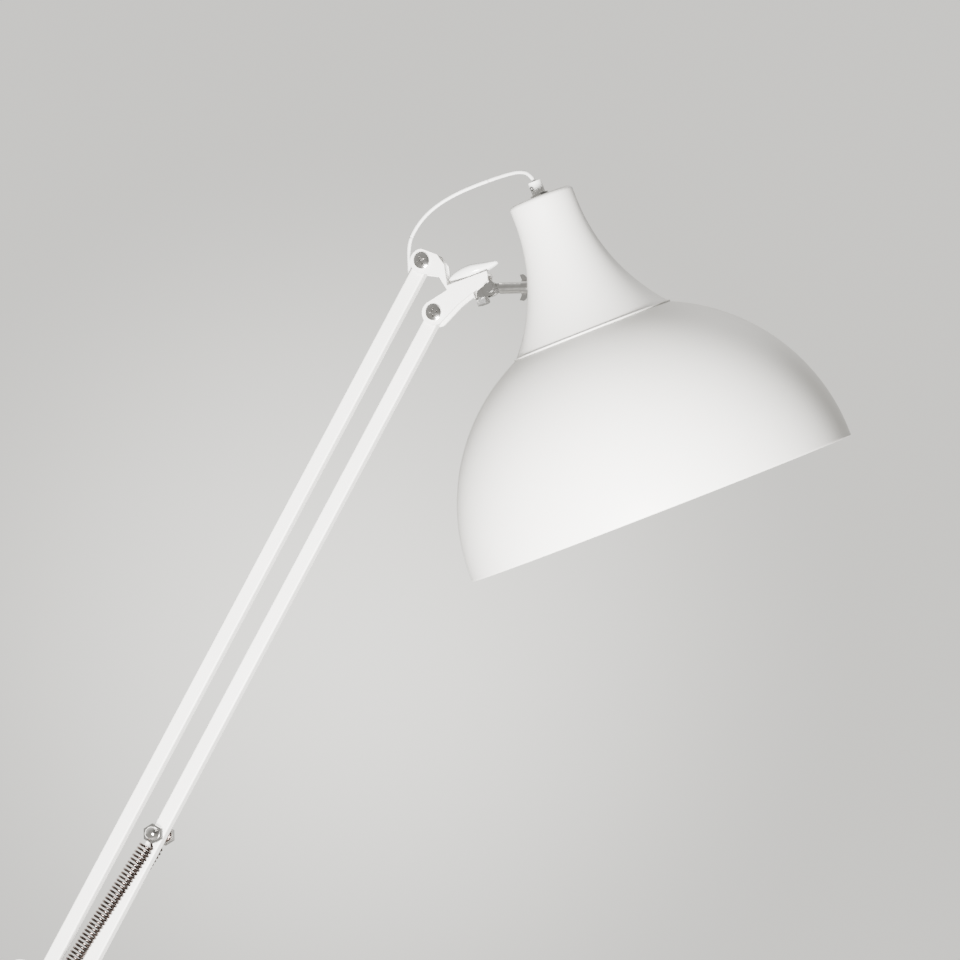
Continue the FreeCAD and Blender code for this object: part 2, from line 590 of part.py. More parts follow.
def headBracket():
    body = newBody("BracketPlate")
    sketch = sketchOn(body, "XZ_Plane", "BracketOutline", "barSize / 2 + plateGap")
    frontX, frontZ = "headSpreadX", "-headSpreadZ"
    outline(sketch, [
        ("plateEnd * cos(95)", "plateEnd * sin(95)"),
        ("plateEnd * cos(260)", "plateEnd * sin(260)"),
        ("plateEnd * cos(260) + 13", "plateEnd * sin(260) - 2"),
        onWeb("-webLeft - 0.8", "-webThickness - 1"),
        (frontX + " + plateEnd * cos(125)", frontZ + " + plateEnd * sin(125)"),
        (frontX + " + plateEnd * cos(300)", frontZ + " + plateEnd * sin(300)"),
        (frontX + " + 16.8", frontZ + " + 5.2"),
        (frontX + " + 29.5", frontZ + " + 14.9"),
        onWeb("webRight - 1.5", "-webThickness - 4.6"),
        onWeb("webRight", "-webThickness"),
        onWeb("webRight", "0"),
        onWeb("-webLeft", "0"),
        ("plateEnd * cos(95) + 16.4", "plateEnd * sin(95) - 11.5"),
        ("plateEnd * cos(95) + 11.2", "plateEnd * sin(95) - 4.4"),
    ], {0: ("plateEnd", 1), 4: ("plateEnd", 1)})
    circle(sketch, "0", "0", "pivotRadius")
    circle(sketch, frontX, frontZ, "pivotRadius")
    pad(body, sketch, "plateThickness")
    corner = webTurn * Vec(-v.webLeft, -halfWidth, -v.webThickness) + Vec(v.boltX, 0, -v.boltZ)
    web = block("BracketWeb", "webLeft + webRight", "barSize + 2 * plateGap + 2 * plateThickness",
                "webThickness", corner, webTurn)
    hole = rod("BracketBoltHole", "clampBoltRadius", "webThickness * 3",
               Vec(v.boltX, 0, -v.boltZ) - webTurn * Vec(0, 0, 2 * v.webThickness), webTurn)
    whole = fuse("BracketWhole", body, mirrored("BracketFar", body), web)
    node("head_bracket", cut("Bracket", whole, hole), headRear)
    pivots("head_pivots", "HeadPivot", [headRear, headFront])


def knuckle():
    top = -v.webThickness
    post = rod("KnucklePost", "knuckleRadius", "knuckleHeight", (0, 0, top - v.knuckleHeight))
    centre = Vec(v.tiltAlong, -v.knuckleRadius, top - v.tiltDown)
    lug = rod("KnuckleLug", "lugRadius", "knuckleRadius * 2", centre, ALONG_Y)
    link = block("KnuckleLink", "tiltAlong", "knuckleRadius * 2", "lugRadius * 2",
                 (0, -v.knuckleRadius, top - v.tiltDown - v.lugRadius))
    slot = rod("KnuckleSlot", "eyeReach + 0.3", "2 * (eyeHalf + eyeGap)",
               (v.tiltAlong, -v.eyeHalf - v.eyeGap, top - v.tiltDown), ALONG_Y)
    screwHole = rod("KnuckleScrewHole", "tiltScrewRadius", "knuckleRadius * 2", centre, ALONG_Y)
    boltHole = rod("KnuckleBoltHole", "clampBoltRadius", "knuckleHeight + lugRadius * 2",
                   (0, 0, top - v.knuckleHeight - 2 * v.lugRadius), NO_TURN)
    whole = fuse("KnuckleWhole", post, lug, link)
    node("rod_knuckle", cut("Knuckle", whole, slot, screwHole, boltHole), webTop, webTurn)
    lowest = -v.webThickness - max(v.knuckleHeight, v.tiltDown + v.lugRadius)
    shank = rod("ClampShank", "clampBoltRadius", "%.6f + clampNutHeight + knobLift" % -lowest,
                (0, 0, lowest - v.clampNutHeight))
    nut = solid("Prism", "ClampNut", (0, 0, lowest - v.clampNutHeight), Polygon="6",
                Circumradius="clampNutFlats / sqrt(3)", Height="clampNutHeight")
    node("clamp_bolt", fuse("ClampBolt", shank, nut), webTop, webTurn)
    screw = rod("TiltShank", "tiltScrewRadius", "knuckleRadius * 2", (0, -v.knuckleRadius, 0), ALONG_Y)
    near = rod("TiltHead", "tiltHeadRadius", "tiltHeadHeight",
               (0, -v.knuckleRadius - v.tiltHeadHeight, 0), ALONG_Y)
    far = rod("TiltRivet", "tiltHeadRadius", "tiltHeadHeight", (0, v.knuckleRadius, 0), ALONG_Y)
    node("tilt_screw", fuse("TiltScrew", screw, near, far), tiltPivot)


def wingKnob():
    hub = rod("KnobHub", "knobHubRadius", "knobHeight", (0, 0, v.knobLift))
    body = newBody("KnobWings")
    sketch = sketchOn(body, "XZ_Plane", "KnobWingOutline")
    outline(sketch, [
        ("-knobSpan", "knobHeight * 0.38"),
        ("-knobSpan * 0.7", "knobLift + 1"),
        ("0", "knobLift"),
        ("knobSpan * 0.6", "knobLift + 0.3"),
        ("knobSpan", "knobHeight * 0.3"),
        ("knobSpan", "knobHeight * 0.6"),
        ("knobSpan * 0.5", "knobHeight * 0.72"),
        ("0", "knobHeight"),
        ("-knobSpan * 0.45", "knobHeight"),
        ("-knobSpan", "knobHeight * 0.6"),
    ])
    pad(body, sketch, "knobWing", both=True)
    bore = rod("KnobBore", "clampBoltRadius + runClearance", "knobHeight / 2", (0, 0, 0))
    node("wing_knob", cut("Knob", fuse("KnobWhole", hub, body), bore), webTop, webTurn)


def tiltRod():
    nutFace = v.rodReach - 2 * v.wingNutGap - v.wingNutThickness
    eye = rod("EyeDisc", "eyeRadius", "eyeHalf * 2", (0, -v.eyeHalf, 0), ALONG_Y)
    neck = block("EyeNeck", "eyeReach + rodRadius / 2", "eyeHalf * 2", "rodRadius * 1.6",
                 (0, -v.eyeHalf, -v.rodRadius * 0.8))
    shaft = rod("RodShaft", "rodRadius", "%.6f - eyeReach" % nutFace, (v.eyeReach, 0, 0), ALONG_X)
    stud = rod("RodStud", "rodStudRadius", "rodReach + rodStudLength - %.6f" % nutFace, (nutFace, 0, 0),
               ALONG_X)
    hole = rod("EyeHole", "tiltScrewRadius + runClearance", "eyeHalf * 2", (0, -v.eyeHalf, 0), ALONG_Y)
    nut = rod("NeckNut", "neckNutRadius", "rodStudLength - neckWall - lockNutGap",
              (v.rodReach + v.neckWall + v.lockNutGap, 0, 0), ALONG_X)
    node("tilt_rod", cut("TiltRod", fuse("RodWhole", eye, neck, shaft, stud, nut), hole), tiltPivot)


def neckWingNut():
    face = v.rodReach - v.wingNutGap - v.wingNutThickness
    hub = rod("NutHub", "wingNutHub", "wingNutThickness", (face, 0, 0), ALONG_X)
    body = newBody("NutWing")
    sketch = sketchOn(body, "XZ_Plane", "NutWingOutline")
    near, back = "rodReach - wingNutGap", "rodReach - wingNutGap - wingNutThickness"
    outline(sketch, [
        (back, "wingNutHub * 0.6"),
        (near, "wingNutHub * 0.6"),
        (near, "wingNutHub + 1"),
        (near + " - wingNutSweep * 0.6", "wingNutSpan * 0.9"),
        (near + " - wingNutSweep", "wingNutSpan"),
        (back + " - wingNutSweep * 0.4", "wingNutSpan * 0.95"),
        (back, "wingNutHub * 1.1"),
    ])
    pad(body, sketch, "wingNutBlade", both=True)
    other = doc.addObject("Part::Mirroring", "NutWingBelow")
    other.Source = body
    other.Normal = UP
    bore = rod("NutBore", "rodStudRadius + runClearance", "wingNutThickness", (face, 0, 0), ALONG_X)
    node("neck_wing_nut", cut("WingNut", fuse("NutWhole", hub, body, other), bore), tiltPivot)


# shade, lampholder and bulb; in the shade's own frame the rim lies in XY and the neck is up

def shadeDome():
    body = newBody("Dome")
    sketch = sketchOn(body, "XZ_Plane", "DomeProfile")
    inner = "sqrt((domeRadius - domeWall)^2 - domeRadius^2 + seamRadius^2)"
    outline(sketch, [("domeRadius", "0"), ("domeRadius", "rimSkirt"), ("seamRadius", SEAM), (inner, SEAM),
                     ("domeRadius - domeWall", "rimSkirt"), ("domeRadius - domeWall", "0")],
            {1: ("domeRadius", 1), 3: ("domeRadius - domeWall", -1)})
    turned(body, sketch)
    node("shade_dome", body, shadeOrigin, shadeTurn)


def shadeNeck():
    body = newBody("Neck")
    sketch = sketchOn(body, "XZ_Plane", "NeckProfile")
    rise = "neckHeight - neckStraight"
    top, corner, wall = "neckTopRadius", "neckTopCorner", "neckWall"

    def flared(height, extra):
        return "neckTopRadius + (%s) - sqrt((%s + %s)^2 - (%s - %s)^2)" % (FLARE, FLARE, extra, rise, height)

    outline(sketch, [
        ("seamRadius + neckLip", "0"),
        ("seamRadius + neckLip", "lipHeight"),
        (flared("lipHeight", "0"), "lipHeight"),
        (top, rise),
        (top, "neckHeight - " + corner),
        (top + " - " + corner, "neckHeight"),
        ("gripSpigot", "neckHeight"),
        ("gripSpigot", "neckHeight - " + wall),
        (top + " - " + corner, "neckHeight - " + wall),
        (top + " - " + wall, "neckHeight - " + corner),
        (top + " - " + wall, rise),
        (flared("0", wall), "0"),
    ], {2: (FLARE, -1), 4: (corner, 1), 8: (corner + " - " + wall, -1), 10: ("%s + %s" % (FLARE, wall), 1)})
    turned(body, sketch)
    level = FreeCAD.Rotation(ACROSS, 90 + v.shadeTilt)
    start = Vec(seat.x, 0, v.rodSeat) - level * Vec(0, 0, 5 * v.neckWall)
    hole = rod("NeckStudHole", "rodStudRadius + runClearance", "10 * neckWall", start, level)
    node("shade_neck", cut("NeckSpinning", body, hole), shadeOrigin + shadeTurn * Vec(0, 0, seamHeight),
         shadeTurn)


def cordGrip():
    ring = rod("RingDisc", "ringRadius", "ringHeight", (0, 0, neckTop))
    ring = cut("GripRing", ring, rod("RingBore", "gripSpigot", "ringHeight", (0, 0, neckTop)))
    node("grip_ring", ring, shadeOrigin, shadeTurn)
    barrel = rod("GripBarrel", "gripRadius", "gripHeight", (0, 0, neckTop + v.ringHeight))
    spigot = rod("GripSpigot", "gripSpigot", "ringHeight + neckWall + holderDrop",
                 (0, 0, neckTop - v.neckWall - v.holderDrop))
    screw = rod("GripScrewHole", "gripScrewRadius", "gripRadius / 2",
                (-v.gripRadius, 0, neckTop + v.ringHeight + v.gripHeight * 0.55), ALONG_X)
    node("cord_grip", cut("Grip", fuse("GripWhole", barrel, spigot), screw), shadeOrigin, shadeTurn)


def lampholder():
    top = neckTop - v.neckWall - v.holderDrop
    low = top - v.holderLength
    shell = rod("HolderShell", "holderRadius", "holderLength", (0, 0, low))
    socket = rod("HolderSocket", "bulbCapRadius", "bulbCapLength", (0, 0, low))
    chamber = rod("HolderChamber", "holderRadius - holderWall * 2",
                  "holderLength - bulbCapLength - 2 * holderWall",
                  (0, 0, low + v.bulbCapLength + v.holderWall))
    node("lampholder", cut("Holder", shell, socket, chamber), shadeOrigin, shadeTurn)
    node("bulb_cap", rod("BulbCap", "bulbCapRadius", "bulbCapLength"),
         shadeOrigin + shadeTurn * Vec(0, 0, low), shadeTurn)
    ball = solid("Sphere", "BulbBall", (0, 0, low - v.bulbLength + v.bulbRadius), Radius="bulbRadius")
    cone = solid("Cone", "BulbCone", (0, 0, low - v.bulbLength + v.bulbRadius * 1.6),
                 Radius1="bulbRadius * 0.8", Radius2="bulbCapRadius", Height="bulbLength - bulbRadius * 1.6")
    node("bulb_glass", fuse("Bulb", ball, cone), shadeOrigin, shadeTurn)


# flexible leads

def lead(label, name, points, radius):
    """A tube along straight runs joined by tangent arcs, each as large as its two runs allow."""
    spots = [Vec(*point) for point in points]
    runs = [there - here for here, there in zip(spots, spots[1:])]
    edges = []
    radii = []
    start = spots[0]
    for index in range(1, len(spots) - 1):
        before = FreeCAD.Vector(runs[index - 1]).normalize()
        after = FreeCAD.Vector(runs[index]).normalize()
        half = before.getAngle(after) / 2
        setback = 0.45 * min(runs[index - 1].Length, runs[index].Length)
        bend = setback / math.tan(half)
        radii.append(bend)
        leave = spots[index] - before * setback
        join = spots[index] + after * setback
        inward = (after - before).normalize()
        centre = spots[index] + inward * (bend / math.cos(half))
        middle = centre - inward * bend
        edges.append(Part.LineSegment(start, leave).toShape())
        edges.append(Part.Arc(leave, middle, join).toShape())
        start = join
    edges.append(Part.LineSegment(start, spots[-1]).toShape())
    path = Part.Wire(edges)
    profile = Part.Wire([Part.Circle(spots[0], runs[0], radius).toShape()])
    tube = path.makePipeShell([profile], True, True)
    thing = doc.addObject("Part::Feature", name)
    thing.Shape = tube
    ideal = math.pi * radius ** 2 * path.Length
    print("%s: length %.1f, tightest bend %.1f, volume %.4f of section times length"
          % (label, path.Length, min(radii), tube.Volume / ideal))
    return node(label, thing)


# Routes, each point chosen by hand: the mains lead's in the lamp's frame, the thin lead's from a pivot.
TURN_ROUTE = [(-19, 0, -28.3), (-31, 0, -23.5), (-38.5, 0, -13.5), (-41, 0, -1), (-39.5, 0, 11.5),
              (-33.8, 0, 22.5)]
ELBOW_ROUTE_LOW = [(-22, 0, -34), (-30, 0, -22), (-34, 0, -8), (-34.5, 0, 8)]
ELBOW_ROUTE_TOP = [(-32, 0, 24), (-27, 0, 40), (-20, 0, 56), (-12, 0, 71), (-5, 0, 86), (3, 0, 98.5)]
HEAD_ROUTE_LOW = [(-10.4, 0, -14), (-11.3, 0, 2)]
HEAD_ROUTE_MIDDLE = [(-11.2, 0, 14), (-6.5, 0, 24), (1.5, 0, 34.2), (12, 0, 42.8), (24.5, 0, 49.8),
                     (38, -0.3, 55)]
HEAD_ROUTE_TOP = [(51.5, -3, 59), (62.5, -7.5, 61), (71.5, -11.5, 61.2), (78.4, -14, 58.8)]
SWITCH_ROUTE = [(0, 180, 8.5), (0, 199, 6.3), (6.5, 217, 3.8), (20, 229, 3.1), (38, 233, 3.2),
                (59, 232.2, 3.9), (81, 232, 4.5)]
COIL_ROUTE = [(143, 232, 4.5), (163, 232.3, 3.7), (183, 239, 3), (196, 255, 3), (197.5, 275, 3),
              (186, 292, 3), (167, 301, 3), (145, 302, 3), (119, 297, 3), (92, 290, 3), (64, 283.5, 3),
              (36, 276, 3), (9, 267, 3), (-17, 259.5, 3), (-43, 255, 4)]
PLUG_ROUTE = [(-94, 222, 5), (-95.5, 203, 4), (-103, 186, 4), (-117, 173.5, 5.5), (-134, 165.5, 8),
              (-153, 163, 9)]


def fromPivot(route, pivot):
    return [pivot + Vec(*spot) for spot in route]


def onBar(pivot, degrees, distance, away=0):
    """A point off a rear bar's outer face, this far along the bar from its pivot."""
    return pivot + polar(degrees, distance) - polar(degrees - 90, v.barSize / 2 + away)


def halfway(one, other):
    return (one + other) * 0.5


def turntableFlex():
    start = Vec(-v.turnSpread / 2 - v.blockEnd - v.flexGap, 0,
                turntableFoot + v.turntableDiscHeight + v.blockHeight / 2)
    end = onBar(turnRear, v.lowerAngle, v.turnFlex)
    approach = onBar(turnRear, v.lowerAngle, v.turnFlex, 11)
    route = [start] + fromPivot(TURN_ROUTE, turnRear) + [approach, end]
    lead("flex_turntable", "TurnFlex", route, v.flexRadius)


def elbowFlexes():
    start = onBar(elbowRear, v.lowerAngle, -v.elbowFlexLow)
    leave = onBar(elbowRear, v.lowerAngle, -v.elbowFlexLow, 14)
    end = onBar(elbowTop, v.upperAngle, v.elbowFlexTop)
    approach = onBar(elbowTop, v.upperAngle, v.elbowFlexTop, 16)
    low = fromPivot(ELBOW_ROUTE_LOW, elbowRear)
    high = fromPivot(ELBOW_ROUTE_TOP, elbowRear)
    join = halfway(low[-1], high[0])
    lead("flex_elbow_lower", "ElbowFlexLow", [start, leave] + low + [join], v.flexRadius)
    lead("flex_elbow_upper", "ElbowFlexTop", [join] + high + [approach, end], v.flexRadius)


def headFlexes():
    low = fromPivot(HEAD_ROUTE_LOW, headRear)
    middle = fromPivot(HEAD_ROUTE_MIDDLE, headRear)
    high = fromPivot(HEAD_ROUTE_TOP, headRear)
    lowJoin = halfway(low[-1], middle[0])
    topJoin = halfway(middle[-1], high[0])
    gripTop = shadeOrigin + shadeTurn * Vec(0, 0, neckTop + v.ringHeight + v.gripHeight)
    lead("flex_head_lower", "HeadFlexLow", low + [lowJoin], v.flexRadius)
    lead("flex_head_middle", "HeadFlexMiddle", [lowJoin] + middle + [topJoin], v.flexRadius)
    lead("flex_head_upper", "HeadFlexTop", [topJoin] + high + [gripTop], v.flexRadius)


def gland():
    """The strain relief in the back of the cover: barrel, flange and tapered tail."""
    barrel = rod("GlandBarrel", "glandRadius", "coverCorner",
                 (0, v.baseRadius - v.coverCorner, v.leadHeight), ALONG_Y)
    flange = rod("GlandFlange", "glandFlange", "coverWall * 2", (0, v.baseRadius, v.leadHeight), ALONG_Y)
    tail = solid("Cone", "GlandTail", (0, v.baseRadius, v.leadHeight), ALONG_Y, Radius1="glandRadius + 1",
                 Radius2="glandTip", Height="glandLength")
    node("cord_gland", fuse("Gland", barrel, flange, tail))


def footSwitch():
    def shell(name, height, roof):
        body = newBody(name)
        x = "(switchLength / 2 - switchCorner)"
        y = "(switchWidth / 2 - switchCorner)"
        centres = [("-" + x, "-" + y), (x, "-" + y), (x, y), ("-" + x, y)]
        for part, shrink, start in (("Outside", "0", "0"), ("Inside", "switchWall", roof)):
            sketch = sketchOn(body, "XY_Plane", name + part, start)
            rounded(sketch, centres, "switchCorner - " + shrink)
            if part == "Outside":
                pad(body, sketch, height)
            else:
                hollow = body.newObject("PartDesign::Pocket", name + "Hollow")
                hollow.Profile = sketch
                hollow.setExpression("Length", tied("%s - switchWall" % height))
                hollow.Reversed = True
        return body

    node("switch_base", shell("SwitchBase", "switchBase", "switchWall"), (v.switchX, v.switchY, 0))
    cover = shell("SwitchCover", "switchCover", "0")
    hole = rod("SwitchHole", "buttonRadius + buttonGap", "switchCover")
    node("switch_cover", cut("SwitchLid", cover, hole), (v.switchX, v.switchY, v.switchBase))
    top = v.switchBase + v.switchCover + v.buttonStand
    node("switch_button", rod("SwitchButton", "buttonRadius", "buttonHeight"),
         (v.switchX, v.switchY, top - v.buttonHeight))


def coiledLead():
    """The put-away length as one ring, and the tie round it."""
    middle = (v.coilX, v.coilY, v.tieWall)
    ring = rod("CoilRing", "coilMean + coilHalf", "coilHeight", middle)
    node("lead_coil", cut("Coil", ring, rod("CoilHole", "coilMean - coilHalf", "coilHeight", middle)))
    outer = block("TieOutside", "tieWidth", "2 * coilHalf + tieSlack + 2 * tieWall",
                  "coilHeight + 2 * tieWall",
                  (v.coilX - v.tieWidth / 2, v.coilY - v.coilMean - v.coilHalf - v.tieWall, 0))
    inner = block("TieInside", "tieWidth", "2 * coilHalf + tieSlack", "coilHeight",
                  (v.coilX - v.tieWidth / 2, v.coilY - v.coilMean - v.coilHalf, v.tieWall))
    node("coil_tie", cut("Tie", outer, inner))


def plug():
    backwards = FreeCAD.Rotation(ACROSS, -90)
    centre = Vec(v.plugX, v.plugY, v.plugRadius)
    body = rod("PlugBarrel", "plugRadius", "plugLength", centre, backwards)
    node("plug_body", body)
    face = centre - Vec(v.plugLength, 0, 0)
    pin = rod("PlugPin", "plugPinRadius", "plugPinLength", face + Vec(0, v.plugPinSpread / 2, 0), backwards)
    other = rod("PlugPinOther", "plugPinRadius", "plugPinLength", face - Vec(0, v.plugPinSpread / 2, 0),
                backwards)
    node("plug_pins", group("PlugPins", pin, other))


basePad()
baseWeight()
baseCover()
poleStud()
pole()
poleBush()
turntable()
elbow()
lowerArmParts()
upperArmParts()
headBracket()
knuckle()
wingKnob()
tiltRod()
neckWingNut()
shadeDome()
shadeNeck()
cordGrip()
lampholder()
turntableFlex()
elbowFlexes()
headFlexes()
gland()
footSwitch()
coiledLead()
plug()
lead("lead_to_switch", "LeadSwitch", SWITCH_ROUTE, v.leadRadius)
lead("lead_to_coil", "LeadCoil", COIL_ROUTE, v.leadRadius)
lead("lead_to_plug", "LeadPlug", PLUG_ROUTE, v.leadRadius)
doc.removeObject(probe.Name)
doc.recompute()

faults = [thing.Name for thing in doc.Objects if "Invalid" in thing.State or "Error" in thing.State]
faults += [thing.Label for thing in nodes if thing.Shape.isNull() or not thing.Shape.isValid()]
if faults:
    raise SystemExit("not built: " + ", ".join(faults))
os.makedirs("parts", exist_ok=True)
for thing in nodes:
    thing.Shape.exportStep("parts/%s.step" % thing.Label)
print("%d sub-parts" % len(nodes))
for name, spot in (("turn rear", turnRear), ("turn front", turnFront), ("elbow rear", elbowRear),
                   ("elbow front", elbowFront), ("elbow top", elbowTop), ("elbow middle", elbowMid),
                   ("head rear", headRear), ("head front", headFront), ("web top", webTop),
                   ("tilt", tiltPivot), ("shade", shadeOrigin)):
    print("%s at %.3f, %.3f, %.3f" % (name, spot.x, spot.y, spot.z))
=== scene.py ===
import math

import bmesh
import bpy
from mathutils import Matrix, Vector


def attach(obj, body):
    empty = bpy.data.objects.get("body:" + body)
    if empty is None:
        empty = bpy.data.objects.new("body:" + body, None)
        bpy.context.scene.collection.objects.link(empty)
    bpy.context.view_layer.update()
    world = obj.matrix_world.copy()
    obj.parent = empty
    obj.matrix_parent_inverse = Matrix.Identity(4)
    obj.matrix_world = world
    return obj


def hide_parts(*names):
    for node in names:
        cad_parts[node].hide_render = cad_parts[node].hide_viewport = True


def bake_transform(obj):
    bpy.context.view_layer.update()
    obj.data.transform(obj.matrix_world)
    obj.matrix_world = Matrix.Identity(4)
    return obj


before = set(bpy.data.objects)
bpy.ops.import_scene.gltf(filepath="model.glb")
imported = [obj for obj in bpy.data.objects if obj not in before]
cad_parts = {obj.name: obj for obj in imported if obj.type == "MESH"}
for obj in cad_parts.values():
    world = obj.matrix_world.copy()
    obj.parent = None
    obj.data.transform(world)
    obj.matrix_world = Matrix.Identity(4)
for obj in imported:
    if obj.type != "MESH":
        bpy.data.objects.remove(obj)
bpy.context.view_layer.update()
print("frame loaded")

mm = 0.001


# A place in the lamp's frame from millimetres, across and up first
def point(x, z, y=0.0):
    return Vector((x, y, z)) * mm


# Turn about Y that carries up towards +X
def tilted(degrees):
    return Matrix.Rotation(math.radians(degrees), 4, "Y")


# Unit direction out from the lamp, from degrees round it and up
def towards(azimuth, elevation):
    turn, rise = math.radians(azimuth), math.radians(elevation)
    return Vector((math.sin(turn) * math.cos(rise), -math.cos(turn) * math.cos(rise), math.sin(rise)))


# camera: near the head's height, a little to the right and looking slightly up
cameraView = {"aim": point(193.3, 1534.85), "azimuth": 14.0, "elevation": -5.0, "distance": 5.0,
              "lens": 271.7, "sensor": 36, "farClip": 200}


def makeCamera():
    back = towards(cameraView["azimuth"], cameraView["elevation"])
    data = bpy.data.cameras.new("lampCamera")
    data.lens = cameraView["lens"]
    data.sensor_width = cameraView["sensor"]
    data.clip_end = cameraView["farClip"]
    camera = bpy.data.objects.new("lampCamera", data)
    camera.location = cameraView["aim"] + back * cameraView["distance"]
    camera.rotation_mode = "QUATERNION"
    camera.rotation_quaternion = (-back).to_track_quat("-Z", "Y")
    bpy.context.scene.collection.objects.link(camera)
    bpy.context.scene.camera = camera


makeCamera()

# finishes: what all of them share
finishBase = {"coatRoughness": 0.12, "driftDetail": 5, "driftRoughness": 0.6, "darkBelow": 0.32,
              "lightAbove": 0.66, "grainDetail": 3, "reliefDepth": 0.0002}


# A finish with a slow drift of colour, an uneven gloss and a fine grain
def finish(name, light, dark, rough, mottle, grain, bump, metal=0.0, coat=0.0, stretch=None):
    material = bpy.data.materials.new(name)
    material.use_nodes = True
    tree = material.node_tree
    shader = tree.nodes["Principled BSDF"]
    shader.inputs["Metallic"].default_value = metal
    shader.inputs["Coat Weight"].default_value = coat
    shader.inputs["Coat Roughness"].default_value = finishBase["coatRoughness"]
    place = tree.nodes.new("ShaderNodeTexCoord")
    source = place.outputs["Object"]
    if stretch:
        spread = tree.nodes.new("ShaderNodeMapping")
        spread.inputs["Scale"].default_value = stretch
        tree.links.new(source, spread.inputs["Vector"])
        source = spread.outputs["Vector"]
    drift = tree.nodes.new("ShaderNodeTexNoise")
    drift.inputs["Scale"].default_value = mottle
    drift.inputs["Detail"].default_value = finishBase["driftDetail"]
    drift.inputs["Roughness"].default_value = finishBase["driftRoughness"]
    tree.links.new(source, drift.inputs["Vector"])
    tone = tree.nodes.new("ShaderNodeValToRGB")
    tone.color_ramp.elements[0].position = finishBase["darkBelow"]
    tone.color_ramp.elements[0].color = (*dark, 1)
    tone.color_ramp.elements[1].position = finishBase["lightAbove"]
    tone.color_ramp.elements[1].color = (*light, 1)
    tree.links.new(drift.outputs["Fac"], tone.inputs["Fac"])
    tree.links.new(tone.outputs["Color"], shader.inputs["Base Color"])
    fine = tree.nodes.new("ShaderNodeTexNoise")
    fine.inputs["Scale"].default_value = grain
    fine.inputs["Detail"].default_value = finishBase["grainDetail"]
    tree.links.new(source, fine.inputs["Vector"])
    gloss = tree.nodes.new("ShaderNodeMapRange")
    gloss.inputs["To Min"].default_value = rough[0]
    gloss.inputs["To Max"].default_value = rough[1]
    tree.links.new(fine.outputs["Fac"], gloss.inputs["Value"])
    tree.links.new(gloss.outputs["Result"], shader.inputs["Roughness"])
    relief = tree.nodes.new("ShaderNodeBump")
    relief.inputs["Strength"].default_value = bump
    relief.inputs["Distance"].default_value = finishBase["reliefDepth"]
    tree.links.new(fine.outputs["Fac"], relief.inputs["Height"])
    tree.links.new(relief.outputs["Normal"], shader.inputs["Normal"])
    return material


satinPaint = finish("satinPaint", (0.84, 0.83, 0.81), (0.8, 0.79, 0.77), (0.36, 0.5), mottle=18, grain=700,
                    bump=0.1)
shadePaint = finish("shadePaint", (0.82, 0.81, 0.785), (0.8, 0.79, 0.765), (0.4, 0.52), mottle=9, grain=900,
                    bump=0.05)
basePaint = finish("basePaint", (0.85, 0.845, 0.83), (0.79, 0.785, 0.77), (0.4, 0.56), mottle=14, grain=600,
                   bump=0.12)
chromePlate = finish("chromePlate", (0.78, 0.77, 0.76), (0.66, 0.65, 0.64), (0.06, 0.2), metal=1, mottle=220,
                     grain=1500, bump=0.05)
zincPlate = finish("zincPlate", (0.66, 0.66, 0.66), (0.5, 0.5, 0.5), (0.24, 0.42), metal=1, mottle=300,
                   grain=1300, bump=0.1)
# spring wire: metal whose dark brown colour is a painted reflection of dark surroundings
springWire = finish("springWire", (0.2, 0.155, 0.14), (0.07, 0.055, 0.05), (0.14, 0.3), metal=1, mottle=400,
                    grain=1800, bump=0.12)
glossPlastic = finish("glossPlastic", (0.87, 0.87, 0.86), (0.83, 0.83, 0.82), (0.14, 0.26), mottle=60,
                      grain=500, bump=0.03, coat=0.3)
flexSheath = finish("flexSheath", (0.86, 0.86, 0.85), (0.79, 0.79, 0.78), (0.38, 0.52), mottle=90, grain=1600,
                    bump=0.12)
mouldedPlastic = finish("mouldedPlastic", (0.85, 0.85, 0.84), (0.79, 0.79, 0.78), (0.42, 0.58), mottle=50,
                        grain=1500, bump=0.22)
darkSteel = finish("darkSteel", (0.12, 0.115, 0.11), (0.06, 0.058, 0.055), (0.3, 0.5), metal=1, mottle=300,
                   grain=1300, bump=0.15)
nylon = finish("nylon", (0.8, 0.8, 0.77), (0.72, 0.72, 0.69), (0.4, 0.55), mottle=80, grain=1200, bump=0.1)
strap = finish("strap", (0.045, 0.045, 0.048), (0.02, 0.02, 0.022), (0.6, 0.8), mottle=300, grain=2600,
               bump=0.6, stretch=(1, 1, 3))
padRubber = finish("padRubber", (0.05, 0.05, 0.05), (0.025, 0.025, 0.025), (0.7, 0.9), mottle=60, grain=900,
                   bump=0.5)
castIron = finish("castIron", (0.17, 0.165, 0.16), (0.07, 0.068, 0.065), (0.5, 0.75), metal=1, mottle=70,
                  grain=420, bump=0.7)
porcelain = finish("porcelain", (0.84, 0.83, 0.8), (0.76, 0.75, 0.72), (0.12, 0.22), mottle=70, grain=300,
                   bump=0.05, coat=0.6)
capMetal = finish("capMetal", (0.8, 0.79, 0.76), (0.62, 0.61, 0.58), (0.2, 0.36), metal=1, mottle=200,
                  grain=900, bump=0.1)
opalGlass = finish("opalGlass", (0.92, 0.92, 0.9), (0.87, 0.87, 0.85), (0.08, 0.16), mottle=30, grain=200,
                   bump=0.02, coat=0.5)

